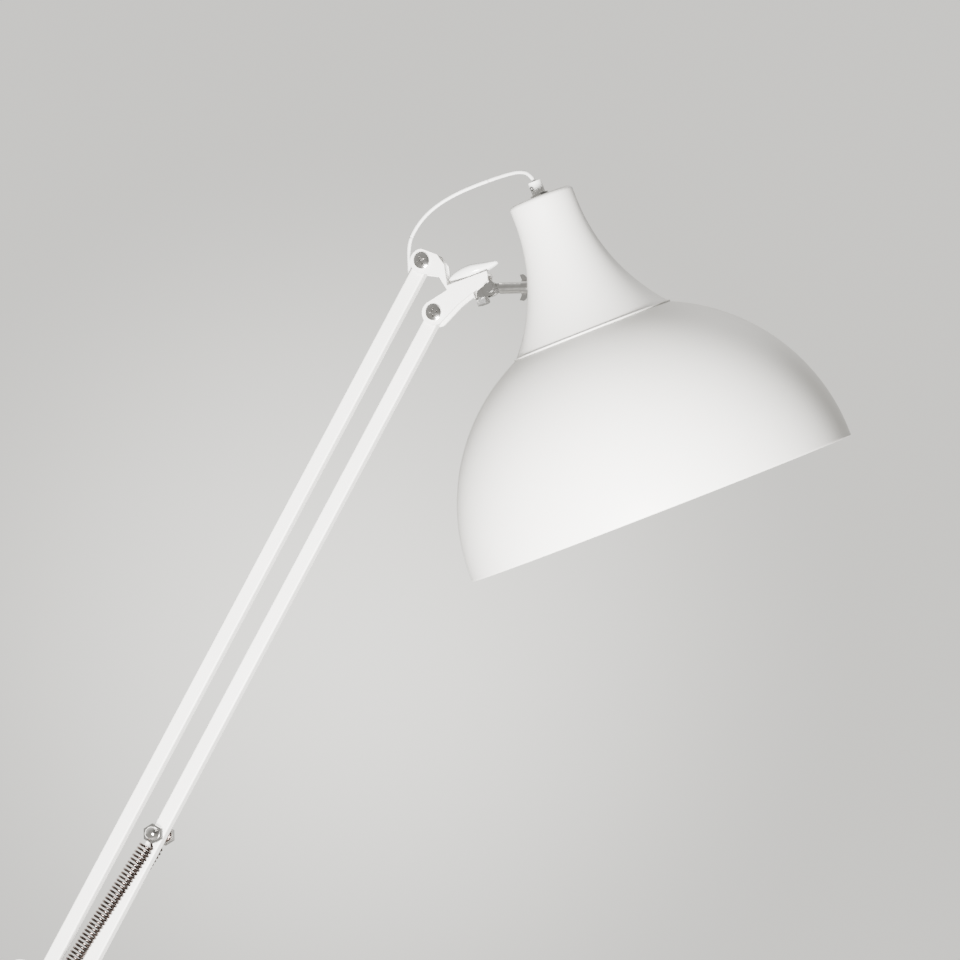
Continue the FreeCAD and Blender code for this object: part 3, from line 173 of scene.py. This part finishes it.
finishOf = {
    "base_pad": padRubber, "base_weight": castIron, "base_cover": basePaint, "cord_gland": mouldedPlastic,
    "pole_stud": zincPlate, "pole_nut": zincPlate, "pole_flange": chromePlate, "pole_lower": satinPaint,
    "pole_joiner": zincPlate, "pole_upper": satinPaint, "pole_bush": nylon, "switch_base": mouldedPlastic,
    "switch_cover": mouldedPlastic, "switch_button": mouldedPlastic, "coil_tie": strap,
    "plug_body": mouldedPlastic, "plug_pins": zincPlate, "turntable_block": satinPaint,
    "turntable_plates": satinPaint, "turntable_pivots": chromePlate, "turntable_spring_pin": zincPlate,
    "lower_rear_bar": satinPaint, "lower_front_bar": satinPaint, "lower_spring_bolt": chromePlate,
    "lower_bolt_nuts": chromePlate, "lower_springs": springWire, "elbow_plates": satinPaint,
    "elbow_pivots": chromePlate, "elbow_spring_pin": zincPlate, "upper_rear_bar": satinPaint,
    "upper_front_bar": satinPaint, "upper_spring_bolt": chromePlate, "upper_bolt_nuts": chromePlate,
    "upper_springs": springWire, "head_bracket": satinPaint, "head_pivots": chromePlate,
    "rod_knuckle": chromePlate, "clamp_bolt": zincPlate, "tilt_screw": chromePlate, "wing_knob": glossPlastic,
    "tilt_rod": chromePlate, "neck_wing_nut": chromePlate, "shade_dome": shadePaint, "shade_neck": shadePaint,
    "grip_ring": chromePlate, "cord_grip": glossPlastic, "lampholder": porcelain, "bulb_cap": capMetal,
    "bulb_glass": opalGlass, "flex_turntable": flexSheath, "flex_elbow_lower": flexSheath,
    "flex_elbow_upper": flexSheath, "flex_head_lower": flexSheath, "flex_head_middle": flexSheath,
    "flex_head_upper": flexSheath, "lead_to_switch": flexSheath, "lead_to_coil": flexSheath,
    "lead_coil": flexSheath, "lead_to_plug": flexSheath,
}


def wear(mesh, material):
    mesh.materials.clear()
    mesh.materials.append(material)


for node, material in finishOf.items():
    wear(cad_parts[node].data, material)
print("finishes made")

# shared makers


# Put a mesh in the scene as one piece of the lamp
def piece(name, mesh, material, body=None, replaces=(), at=None):
    made = bpy.data.objects.new(name, mesh)
    bpy.context.scene.collection.objects.link(made)
    if at is not None:
        made.matrix_world = at
    wear(mesh, material)
    for face in mesh.polygons:
        face.use_smooth = True
    if replaces:
        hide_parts(*replaces)
    if body:
        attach(made, body)
    return made


# A mesh spun about Z from (radius, height) pairs in millimetres; a closed outline unless it meets the axis
def lathed(profile, steps):
    mesh = bpy.data.meshes.new("spun")
    build = bmesh.new()
    rings = []
    for radius, height in profile:
        if radius == 0:
            rings.append([build.verts.new((0, 0, height * mm))])
            continue
        rings.append([build.verts.new((math.cos(2 * math.pi * step / steps) * radius * mm,
                                       math.sin(2 * math.pi * step / steps) * radius * mm, height * mm))
                      for step in range(steps)])
    pairs = list(zip(rings, rings[1:]))
    if len(rings[0]) > 1 and len(rings[-1]) > 1:
        pairs.append((rings[-1], rings[0]))
    for lower, upper in pairs:
        for step in range(steps):
            after = (step + 1) % steps
            corners = [lower[step % len(lower)], lower[after % len(lower)], upper[after % len(upper)],
                       upper[step % len(upper)]]
            unique = list(dict.fromkeys(corners))
            if len(unique) > 2:
                build.faces.new(unique)
    bmesh.ops.recalc_face_normals(build, faces=build.faces)
    build.to_mesh(mesh)
    build.free()
    return mesh


# Points in millimetres round an arc, its ends included; angles in degrees
def arcPoints(centre, radius, start, end, steps):
    return [(centre[0] + radius * math.cos(math.radians(start + (end - start) * step / steps)),
             centre[1] + radius * math.sin(math.radians(start + (end - start) * step / steps)))
            for step in range(steps + 1)]


# Smooth shading that breaks at sharp edges
def creased(made, degrees):
    made.data.set_sharp_from_angle(angle=math.radians(degrees))


cordLine = {"steps": 8, "order": 3, "bevelSteps": 5}


# A smooth line along its control points, as a curve object, and a round cord if it has a radius
def line(points, radius=None):
    curve = bpy.data.curves.new("route", "CURVE")
    curve.dimensions = "3D"
    curve.resolution_u = cordLine["steps"]
    spline = curve.splines.new("NURBS")
    spline.points.add(len(points) - 1)
    for spot, place in zip(spline.points, points):
        spot.co = (*place, 1)
    spline.order_u = cordLine["order"]
    spline.use_endpoint_u = True
    if radius:
        curve.bevel_depth = radius
        curve.bevel_resolution = cordLine["bevelSteps"]
        curve.use_fill_caps = True
    made = bpy.data.objects.new("route", curve)
    bpy.context.scene.collection.objects.link(made)
    return made


# The points along that line
def traced(points):
    made = line(points)
    bpy.context.view_layer.update()
    mesh = bpy.data.meshes.new_from_object(made)
    spots = [vertex.co.copy() for vertex in mesh.vertices]
    bpy.data.objects.remove(made)
    bpy.data.meshes.remove(mesh)
    return spots


# A round rod along path, with no twist and with closed ends
def swept(path, radius, sides):
    mesh = bpy.data.meshes.new("tube")
    build = bmesh.new()
    side = None
    rings = []
    for index, spot in enumerate(path):
        ahead = path[min(index + 1, len(path) - 1)]
        behind = path[max(index - 1, 0)]
        along = (ahead - behind).normalized()
        if side is None:
            side = along.orthogonal().normalized()
        side = (side - along * side.dot(along)).normalized()
        other = along.cross(side)
        rings.append([build.verts.new(spot + (side * math.cos(2 * math.pi * turn / sides)
                                              + other * math.sin(2 * math.pi * turn / sides)) * radius)
                      for turn in range(sides)])
    for first, second in zip(rings, rings[1:]):
        for turn in range(sides):
            after = (turn + 1) % sides
            build.faces.new((first[turn], first[after], second[after], second[turn]))
    build.faces.new(rings[0])
    build.faces.new(list(reversed(rings[-1])))
    bmesh.ops.recalc_face_normals(build, faces=build.faces)
    build.to_mesh(mesh)
    build.free()
    return mesh


def lengthOf(path):
    return sum((there - here).length for here, there in zip(path, path[1:]))


# mains lead: out of the base, through the foot switch, round its coil and to the plug

mainsLead = {
    "radius": 2.9 * mm,
    "toSwitch": [(0, 180, 8.5), (0, 199, 6.3), (6.5, 217, 3.8), (20, 229, 3.1), (38, 233, 3.2),
                 (59, 232.2, 3.9), (81, 232, 4.5)],
    "toCoil": [(143, 232, 4.5), (163, 232.3, 3.7), (183, 239, 3), (196, 255, 3), (197.5, 275, 3),
               (186, 292, 3), (167, 301, 3), (145, 302, 3), (119, 297, 3), (92, 290, 3), (64, 283.5, 3),
               (36, 276, 3), (9, 267, 3), (-17, 259.5, 3), (-43, 255, 4)],
    "toPlug": [(-94, 222, 5), (-95.5, 203, 4), (-103, 186, 4), (-117, 173.5, 5.5), (-134, 165.5, 8),
               (-153, 163, 9)],
    "coilCentre": (-62, 222),
    "layers": [(37.8, 4.1), (37.8, 9.9), (37.8, 15.7), (32, 15.7), (32, 9.9), (26.2, 9.9), (26.2, 4.1),
               (32, 4.1)],
    "firstAngle": 84, "firstShift": 340, "shiftEvery": 320, "shiftOver": 40, "lastAngle": 2316, "step": 24,
}


# Control points of the put-away turns, each layer reached over a short slope
def coilTurns():
    spots = []
    bulge = 1 / math.cos(math.radians(mainsLead["step"] / 2))
    angle = mainsLead["firstAngle"]
    while angle <= mainsLead["lastAngle"]:
        passed = (angle - mainsLead["firstShift"]) / mainsLead["shiftEvery"]
        layer = 0 if passed < 0 else int(passed) + 1
        share = 1.0
        if layer:
            into = angle - mainsLead["firstShift"] - (layer - 1) * mainsLead["shiftEvery"]
            share = min(into / mainsLead["shiftOver"], 1.0)
        before = mainsLead["layers"][max(layer - 1, 0)]
        after = mainsLead["layers"][layer]
        radius = (before[0] + (after[0] - before[0]) * share) * bulge
        height = before[1] + (after[1] - before[1]) * share
        turn = math.radians(angle)
        spots.append((mainsLead["coilCentre"][0] + radius * math.cos(turn),
                      mainsLead["coilCentre"][1] + radius * math.sin(turn), height))
        angle += mainsLead["step"]
    return spots


# Places in metres from places in millimetres
def metres(route):
    return [Vector(spot) * mm for spot in route]


# One length of the mains lead, on the base, in place of the nodes it stands for
def mainsCord(name, route, replaced):
    path = traced(metres(route))
    made = line(metres(route), mainsLead["radius"])
    made.name = name
    made.data.name = name
    made.data.materials.append(flexSheath)
    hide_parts(*replaced)
    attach(made, "base")
    print(name, "is %.3f m" % lengthOf(path))


mainsCord("mains_to_switch", mainsLead["toSwitch"], ["lead_to_switch"])
mainsCord("mains_to_plug", mainsLead["toCoil"] + coilTurns() + mainsLead["toPlug"],
          ["lead_to_coil", "lead_coil", "lead_to_plug"])

# thin flex: short loops over the joints, in one run per loop, cut where each next part takes over

thinFlex = {"radius": 1.3 * mm, "sides": 14}
turntableLoop = [(-22.1, 0, 572.8), (-35, 0, 571.7), (-47, 0, 576.5), (-54.5, 0, 586.5), (-57, 0, 599),
                 (-55.5, 0, 611.5), (-49.8, 0, 622.5), (-40.8, 0, 630.6), (-30.1, 0, 633.5)]
elbowLoop = [(-146.1, 0, 1066.2), (-159.6, 0, 1062.6), (-172.6, 0, 1068.3), (-180.6, 0, 1080.3),
             (-184.6, 0, 1094.3), (-185.1, 0, 1110.3), (-182.6, 0, 1126.3), (-177.6, 0, 1142.3),
             (-170.6, 0, 1158.3), (-162.6, 0, 1173.3), (-155.6, 0, 1188.3), (-147.6, 0, 1200.8),
             (-136.1, 0, 1207.6), (-122.1, 0, 1199.9)]
headLoop = [(143.4, 0, 1673.25), (142.5, 0, 1689.25), (142.6, 0, 1701.25), (147.3, 0, 1711.25),
            (155.3, 0, 1721.05), (165.8, 0, 1728.85), (178.3, 0, 1735.25), (191.8, -0.3, 1740.25),
            (205.3, -3, 1744.05), (216.3, -7.5, 1746.15), (224.8, -11.3, 1746.85), (231.9, -13.8, 1744.85),
            (235.15, -12.91, 1739.39)]


# One loop as several pieces; each part is (name, share of the length where it ends, its two bodies, node
# it stands for)
def flexLoop(route, parts):
    path = traced(metres(route))
    whole = lengthOf(path)
    start = 0
    run = 0.0
    for name, share, bodies, node in parts:
        stop = start
        while stop < len(path) - 1 and run < share * whole:
            run += (path[stop + 1] - path[stop]).length
            stop += 1
        own = path[start:stop + 1]
        made = piece(name, swept(own, thinFlex["radius"], thinFlex["sides"]), flexSheath,
                     replaces=[node])
        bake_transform(made)
        start = stop


flexLoop(turntableLoop, [("flex_by_turntable", 1, ("turntable", "lower_rear"), "flex_turntable")])
flexLoop(elbowLoop, [("flex_below_elbow", 0.403, ("lower_rear", "elbow"), "flex_elbow_lower"),
                     ("flex_above_elbow", 1, ("elbow", "upper_rear"), "flex_elbow_upper")])
flexLoop(headLoop, [("flex_from_arm", 0.222, ("upper_rear", "head"), "flex_head_lower"),
                    ("flex_over_head", 0.7, ("head", "rod"), "flex_head_middle"),
                    ("flex_to_grip", 1, ("rod", "shade"), "flex_head_upper")])
print("cords laid")

# shade: spun dome and neck, in the shade's own frame, then tilted into place

shadeSizes = {"origin": point(315.489, 1514.852, 27.492), "tilt": -19.4, "twist": 10.2, "wall": 1.2,
              "rim": 140.0, "edgeLow": 0.5, "edgeHigh": 1.6, "skirt": 3.4, "domeSteps": 90, "domeSides": 192,
              "seam": 57.0, "seamHeight": 131.278, "neckHeight": 99.8, "neckTop": 23.0, "straight": 10.0,
              "lip": 0.7, "lipHeight": 1.2, "lipEdge": [(0.6, 0), (1, 0.3), (1, 0.8), (0.5, 1.2)],
              "flareSteps": (60, 50), "corner": 3.0, "cornerSteps": (10, 8), "hole": 3.5, "neckSides": 160,
              "neckCrease": 50}


# Where the shade stands, height millimetres up its own axis from the rim
def shadeFrame(height=0.0):
    twist = Matrix.Rotation(math.radians(shadeSizes["twist"]), 4, "X")
    up = Matrix.Translation((0, 0, height * mm))
    return Matrix.Translation(shadeSizes["origin"]) @ twist @ tilted(shadeSizes["tilt"]) @ up


# The dome: one round from its short upright rim to the seam, with a rounded edge at the mouth
def makeDome():
    s = shadeSizes
    seamAngle = math.degrees(math.asin((s["seamHeight"] - s["skirt"]) / s["rim"]))
    outer = [(s["rim"], s["edgeLow"]), (s["rim"], s["edgeHigh"])]
    outer += arcPoints((0, s["skirt"]), s["rim"], 0, seamAngle, s["domeSteps"])
    innerRadius = s["rim"] - s["wall"]
    inner = arcPoints((0, s["skirt"]), innerRadius, seamAngle, 0, s["domeSteps"])
    mouth = [(innerRadius, s["edgeHigh"]), (innerRadius, s["edgeLow"]), (s["rim"] - s["wall"] / 2, 0)]
    piece("dome", lathed(outer + inner + mouth, s["domeSides"]), shadePaint, "shade",
          ["shade_dome"], shadeFrame())


# The neck: straight at the top, flared down to a small lip over the seam
def makeNeck():
    s = shadeSizes
    rise = s["neckHeight"] - s["straight"]
    spread = s["seam"] - s["neckTop"]
    flare = (spread ** 2 + rise ** 2) / (2 * spread)
    whole = math.degrees(math.asin(rise / flare))
    centre = (s["neckTop"] + flare, rise)
    firstAngle = 180 + whole
    outside = [(s["seam"] + s["lip"] * share, height) for share, height in s["lipEdge"]]
    outside += [spot for spot in arcPoints(centre, flare, firstAngle, 180, s["flareSteps"][0])
                if spot[1] > s["lipHeight"]]
    cornerCentre = (s["neckTop"] - s["corner"], s["neckHeight"] - s["corner"])
    outside += arcPoints(cornerCentre, s["corner"], 0, 90, s["cornerSteps"][0])
    inside = [(s["hole"], s["neckHeight"]), (s["hole"], s["neckHeight"] - s["wall"])]
    inside += arcPoints(cornerCentre, s["corner"] - s["wall"], 90, 0, s["cornerSteps"][1])
    inside += arcPoints(centre, flare + s["wall"], 180, firstAngle, s["flareSteps"][1])
    made = piece("neck", lathed(outside + inside, s["neckSides"]), shadePaint, "shade",
                 ["shade_neck"], shadeFrame(s["seamHeight"]))
    creased(made, s["neckCrease"])


makeDome()
makeNeck()

# set screw in the side of the cord grip
gripScrew = {"centre": point(236.5, 1735.6, -12.3), "facing": -38, "out": 4.3, "radius": 1.7,
             "chamfer": 0.25, "proud": 0.8, "sunk": 0.6, "socket": 0.9, "socketDepth": 0.9, "sides": 32,
             "crease": 35}


# A small socket screw that stands square to the grip's own axis
def makeGripScrew():
    g = gripScrew
    axis = shadeFrame().to_3x3() @ Vector((0, 0, 1))
    out = towards(g["facing"], 0)
    out = (out - axis * out.dot(axis)).normalized()
    bottom = g["proud"] - g["socketDepth"]
    mesh = lathed([(0, bottom), (g["socket"], bottom), (g["socket"], g["proud"]),
                   (g["radius"] - g["chamfer"], g["proud"]), (g["radius"], g["proud"] - g["chamfer"]),
                   (g["radius"], -g["sunk"]), (0, -g["sunk"])], g["sides"])
    turned = out.to_track_quat("Z", "Y").to_matrix().to_4x4()
    at = Matrix.Translation(g["centre"] + out * g["out"] * mm) @ turned
    creased(piece("grip_set_screw", mesh, darkSteel, "shade", at=at), g["crease"])


makeGripScrew()
print("shade spun")

# wing knob: one leaf-shaped moulding, thick over the bolt and thin at both tips
knobShape = {"centre": point(190, 1675.853), "slope": -18.5, "sides": 40, "power": 2.6, "smoothing": 2,
             "along": [-18.3, -17.4, -14.5, -10, -5, 0, 5, 10, 14.5, 17.6, 18.5],
             "low": [3.9, 3.0, 1.9, 1.1, 0.5, 0.4, 0.6, 1.2, 2.2, 3.1, 3.9],
             "high": [4.5, 5.4, 7.0, 8.6, 9.4, 9.4, 8.4, 7.2, 6.4, 5.7, 4.7],
             "deep": [0.8, 2.4, 3.8, 5.2, 6.6, 7.0, 6.4, 5.0, 3.7, 2.6, 1.0]}


# Flattened rings along the leaf, closed at both tips and then smoothed
def makeKnob():
    k = knobShape
    build = bmesh.new()
    rings = []
    for along, low, high, deep in zip(k["along"], k["low"], k["high"], k["deep"]):
        ring = []
        for step in range(k["sides"]):
            turn = 2 * math.pi * step / k["sides"]
            across = math.copysign(abs(math.cos(turn)) ** (2 / k["power"]), math.cos(turn)) * deep
            up = math.copysign(abs(math.sin(turn)) ** (2 / k["power"]), math.sin(turn)) * (high - low) / 2
            ring.append(build.verts.new(Vector((along, across, (high + low) / 2 + up)) * mm))
        rings.append(ring)
    for first, second in zip(rings, rings[1:]):
        for step in range(k["sides"]):
            after = (step + 1) % k["sides"]
            build.faces.new((first[step], first[after], second[after], second[step]))
    build.faces.new(rings[0])
    build.faces.new(rings[-1])
    bmesh.ops.recalc_face_normals(build, faces=build.faces)
    mesh = bpy.data.meshes.new("leaf")
    build.to_mesh(mesh)
    build.free()
    made = piece("leaf_knob", mesh, glossPlastic, "knob", ["wing_knob"],
                 Matrix.Translation(k["centre"]) @ tilted(k["slope"]))
    smoother = made.modifiers.new("smoother", "SUBSURF")
    smoother.levels = smoother.render_levels = k["smoothing"]


makeKnob()
print("knob moulded")

# pivot screws: pan heads with a cross recess, each with a nut on the far side
screwSizes = {"face": 7.4, "radius": 5.6, "height": 3.1, "dome": 1.1, "topShare": 0.985,
              "edge": [(1.0, 1.5), (1.012, 0.9), (1.0, 0)], "rings": 30, "steps": 96,
              "crossHalf": 0.62, "crossReach": 3.1, "crossDepth": 1.7, "crossSide": 0.25, "crossEnd": 1.1,
              "shank": 2.98, "shankSides": 48, "nutFlats": 10, "nutHeight": 5, "nutTop": 0.9, "chamfer": 0.5,
              "firstTurn": 24, "nextTurn": 67, "crease": 32}


# Height of a screw head's surface above its seat, its cross let in with sloped sides
def headHeight(x, y):
    s = screwSizes
    out = math.hypot(x, y) / s["radius"]
    level = s["height"] - s["dome"] * out ** 2
    across, along = sorted((abs(x), abs(y)))
    inside = min((s["crossHalf"] - across) / s["crossSide"], (s["crossReach"] - along) / s["crossEnd"], 1.0)
    return level - s["crossDepth"] * max(inside, 0.0)


# A screw's head: rings over its top, then down its edge to the seat
def screwHead():
    s = screwSizes
    build = bmesh.new()
    middle = build.verts.new((0, 0, headHeight(0, 0) * mm))
    rings = []
    for index in range(1, s["rings"] + 1 + len(s["edge"])):
        ring = []
        for step in range(s["steps"]):
            turn = 2 * math.pi * step / s["steps"]
            if index <= s["rings"]:
                out = s["radius"] * s["topShare"] * index / s["rings"]
                height = headHeight(out * math.cos(turn), out * math.sin(turn))
            else:
                share, height = s["edge"][index - s["rings"] - 1]
                out = s["radius"] * share
            ring.append(build.verts.new((out * math.cos(turn) * mm, out * math.sin(turn) * mm, height * mm)))
        rings.append(ring)
    for step in range(s["steps"]):
        build.faces.new((middle, rings[0][step], rings[0][(step + 1) % s["steps"]]))
    for first, second in zip(rings, rings[1:]):
        for step in range(s["steps"]):
            after = (step + 1) % s["steps"]
            build.faces.new((first[step], second[step], second[after], first[after]))
    build.faces.new(rings[-1])
    bmesh.ops.recalc_face_normals(build, faces=build.faces)
    mesh = bpy.data.meshes.new("head")
    build.to_mesh(mesh)
    build.free()
    return mesh


# Several meshes with their places, as one mesh
def gathered(name, parts):
    build = bmesh.new()
    for mesh, place in parts:
        moved = mesh.copy()
        moved.transform(place)
        build.from_mesh(moved)
        bpy.data.meshes.remove(moved)
    mesh = bpy.data.meshes.new(name)
    build.to_mesh(mesh)
    build.free()
    return mesh


# The screws of one bracket, across it at each spot, each with its shank and nut
def pivotScrews(name, spots, body, node):
    s = screwSizes
    head = screwHead()
    hexagon = s["nutFlats"] / math.sqrt(3)
    nut = lathed([(s["shank"], 0), (hexagon, 0), (hexagon, s["nutHeight"] - s["chamfer"]),
                  (hexagon * s["nutTop"], s["nutHeight"]), (s["shank"], s["nutHeight"])], 6)
    tip = 2 * s["face"] + s["nutHeight"]
    shank = lathed([(0, 0), (s["shank"], 0), (s["shank"], tip - s["chamfer"]),
                    (s["shank"] - s["chamfer"], tip), (0, tip)], s["shankSides"])
    near = Matrix.Rotation(math.radians(90), 4, "X")
    far = Matrix.Rotation(math.radians(-90), 4, "X")
    parts = []
    for count, (x, z) in enumerate(spots):
        turned = Matrix.Rotation(math.radians(s["firstTurn"] + s["nextTurn"] * count), 4, "Z")
        seat = Matrix.Translation(point(x, z, -s["face"]))
        parts.append((head, seat @ near @ turned))
        parts.append((shank, seat @ far))
        parts.append((nut, Matrix.Translation(point(x, z, s["face"])) @ far @ turned))
    creased(piece(name, gathered(name, parts), chromePlate, body, [node]), s["crease"])


pivotScrews("screws_turntable", [(-16, 600), (16, 600)], "turntable", "turntable_pivots")
pivotScrews("screws_elbow", [(-150.586, 1102.281), (-118.586, 1102.281), (-137.086, 1162.481),
                             (-128.586, 1126.281)], "elbow", "elbow_pivots")
pivotScrews("screws_head", [(153.8, 1687.253), (162.3, 1651.053)], "head", "head_pivots")
print("screws cut")

# springs: two wound coils to each arm, hooked on a pin at the foot and a bolt at the top
# leg and lead are the wire's (across, up) points between the pin's eye and the coil, and between the coil and
# the bolt's eye; bend is a stretch of the leg, in millimetres up from the pin
springSizes = {"mean": 4.8, "wire": 1.7, "pitch": 2.94, "side": 11.0, "footGap": 30.0, "topGap": 9.0,
               "pinEye": 3.5, "pinAngles": range(-60, 271, 15), "boltEye": 4.1,
               "boltAngles": range(-150, 181, 15), "leg": [(-1.575, 5.6), (0, 9.1), (0, 24), (2.4, 28)],
               "lead": (1.92, -6.8), "bend": (4, 30), "perTurn": 20, "wireSides": 8}


# One spring's wire in its own frame: eye on the pin, straight leg, coil, eye on the bolt
def coiledSpring(side, length):
    s = springSizes
    spots = []
    for angle in s["pinAngles"]:
        turn = math.radians(angle)
        spots.append((s["pinEye"] * math.sin(turn), side, -s["pinEye"] * math.cos(turn)))
    spots += [(across, side, up) for across, up in s["leg"]]
    coilLength = length - s["footGap"] - s["topGap"]
    turns = int((coilLength - s["wire"]) / s["pitch"])
    pitch = (coilLength - s["wire"]) / turns
    for step in range(turns * s["perTurn"] + 1):
        turn = 2 * math.pi * step / s["perTurn"]
        spots.append((s["mean"] * math.cos(turn), side + s["mean"] * math.sin(turn),
                      s["footGap"] + s["wire"] / 2 + pitch * step / s["perTurn"]))
    spots.append((s["lead"][0], side, length + s["lead"][1]))
    for angle in s["boltAngles"]:
        turn = math.radians(angle)
        spots.append((s["boltEye"] * math.sin(turn), side, length + s["boltEye"] * math.cos(turn)))
    return [Vector(spot) * mm for spot in spots]


# The two springs of one arm, from the pin at foot to the bolt at top
def springPair(name, foot, top, node):
    s = springSizes
    run = top - foot
    lean = math.degrees(math.atan2(run.x, run.z))
    at = Matrix.Translation(foot) @ tilted(lean)
    whole = bmesh.new()
    for side in (-s["side"], s["side"]):
        whole.from_mesh(swept(coiledSpring(side, run.length / mm), s["wire"] / 2 * mm, s["wireSides"]))
    mesh = bpy.data.meshes.new(name)
    whole.to_mesh(mesh)
    whole.free()
    # the coils wear the dark brown wire finish, a painted reflection of dark surroundings
    made = piece(name, mesh, springWire, replaces=[node], at=at)
    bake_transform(made)


springPair("coils_upper", point(-133.686, 1148.001), point(-36.472, 1292.459),
           "upper_springs")
springPair("coils_lower", point(-3.2, 600), point(-33.176, 783.526),
           "lower_springs")
print("springs wound")

# floor, surroundings and lights
# the surroundings glow behind the lamp, fade to strength around that and get darker in front and to the right
roomLight = {"floorHalf": 40, "colour": (1.0, 0.985, 0.93, 1), "strength": 1.05, "glowStrength": 2.0,
             "glowSpread": 0.072, "glowAzimuth": 15.0, "glowElevation": -3.7, "front": (-0.5, 0.7),
             "frontShare": 0.38, "right": (0.0, 0.8), "rightShare": 0.3}


def makeFloor():
    half = roomLight["floorHalf"]
    ground = bpy.data.meshes.new("floor")
    ground.from_pydata([(-half, -half, 0), (half, -half, 0), (half, half, 0), (-half, half, 0)], [],
                       [(0, 1, 2, 3)])
    ground.materials.append(finish("paleFloor", (0.62, 0.615, 0.6), (0.58, 0.575, 0.56), (0.7, 0.9),
                                   mottle=0.6, grain=40, bump=0.05))
    floor = bpy.data.objects.new("floor", ground)
    bpy.context.scene.collection.objects.link(floor)


# Goes smoothly from the first value to the last one as source goes from start to end
def eased(tree, source, start, end, first, last):
    ease = tree.nodes.new("ShaderNodeMapRange")
    ease.interpolation_type = "SMOOTHSTEP"
    ease.inputs["From Min"].default_value = start
    ease.inputs["From Max"].default_value = end
    ease.inputs["To Min"].default_value = first
    ease.inputs["To Max"].default_value = last
    tree.links.new(source, ease.inputs["Value"])
    return ease.outputs["Result"]


# Compares the direction of each ray with a fixed one
def compared(tree, source, operation, direction):
    compare = tree.nodes.new("ShaderNodeVectorMath")
    compare.operation = operation
    compare.inputs[1].default_value = direction
    tree.links.new(source, compare.inputs[0])
    return compare.outputs["Value"]


def makeSurroundings():
    r = roomLight
    world = bpy.data.worlds.new("studio")
    bpy.context.scene.world = world
    world.use_nodes = True
    tree = world.node_tree
    background = tree.nodes["Background"]
    background.inputs["Color"].default_value = r["colour"]
    direction = tree.nodes.new("ShaderNodeTexCoord").outputs["Generated"]
    split = tree.nodes.new("ShaderNodeSeparateXYZ")
    tree.links.new(direction, split.inputs["Vector"])
    spread = compared(tree, direction, "DISTANCE", -towards(r["glowAzimuth"], r["glowElevation"]))
    facing = compared(tree, direction, "DOT_PRODUCT",
                      towards(cameraView["azimuth"], cameraView["elevation"]))
    strength = eased(tree, spread, 0.0, r["glowSpread"], r["glowStrength"], r["strength"])
    for share in (eased(tree, facing, *r["front"], 1.0, r["frontShare"]),
                  eased(tree, split.outputs["X"], *r["right"], 1.0, r["rightShare"])):
        product = tree.nodes.new("ShaderNodeMath")
        product.operation = "MULTIPLY"
        tree.links.new(strength, product.inputs[0])
        tree.links.new(share, product.inputs[1])
        strength = product.outputs["Value"]
    tree.links.new(strength, background.inputs["Strength"])


softboxes = {
    "keyLight": {"azimuth": 7, "elevation": -24, "distance": 1.15, "size": 0.35, "power": 104,
                 "aim": point(290, 1540)},
    "backFill": {"azimuth": 165, "elevation": 50, "distance": 2.6, "size": 1.4, "power": 26,
                 "aim": point(300, 1560)},
}
softboxColour = (1, 0.985, 0.96)


# A round soft light that looks at its aim
def softbox(name, light):
    data = bpy.data.lights.new(name, "AREA")
    data.shape = "DISK"
    data.size = light["size"]
    data.energy = light["power"]
    data.color = softboxColour
    lamp = bpy.data.objects.new(name, data)
    back = towards(light["azimuth"], light["elevation"])
    lamp.location = light["aim"] + back * light["distance"]
    lamp.rotation_mode = "QUATERNION"
    lamp.rotation_quaternion = back.to_track_quat("Z", "Y")
    bpy.context.scene.collection.objects.link(lamp)


makeFloor()
makeSurroundings()
for name, light in softboxes.items():
    softbox(name, light)
print("room lit")
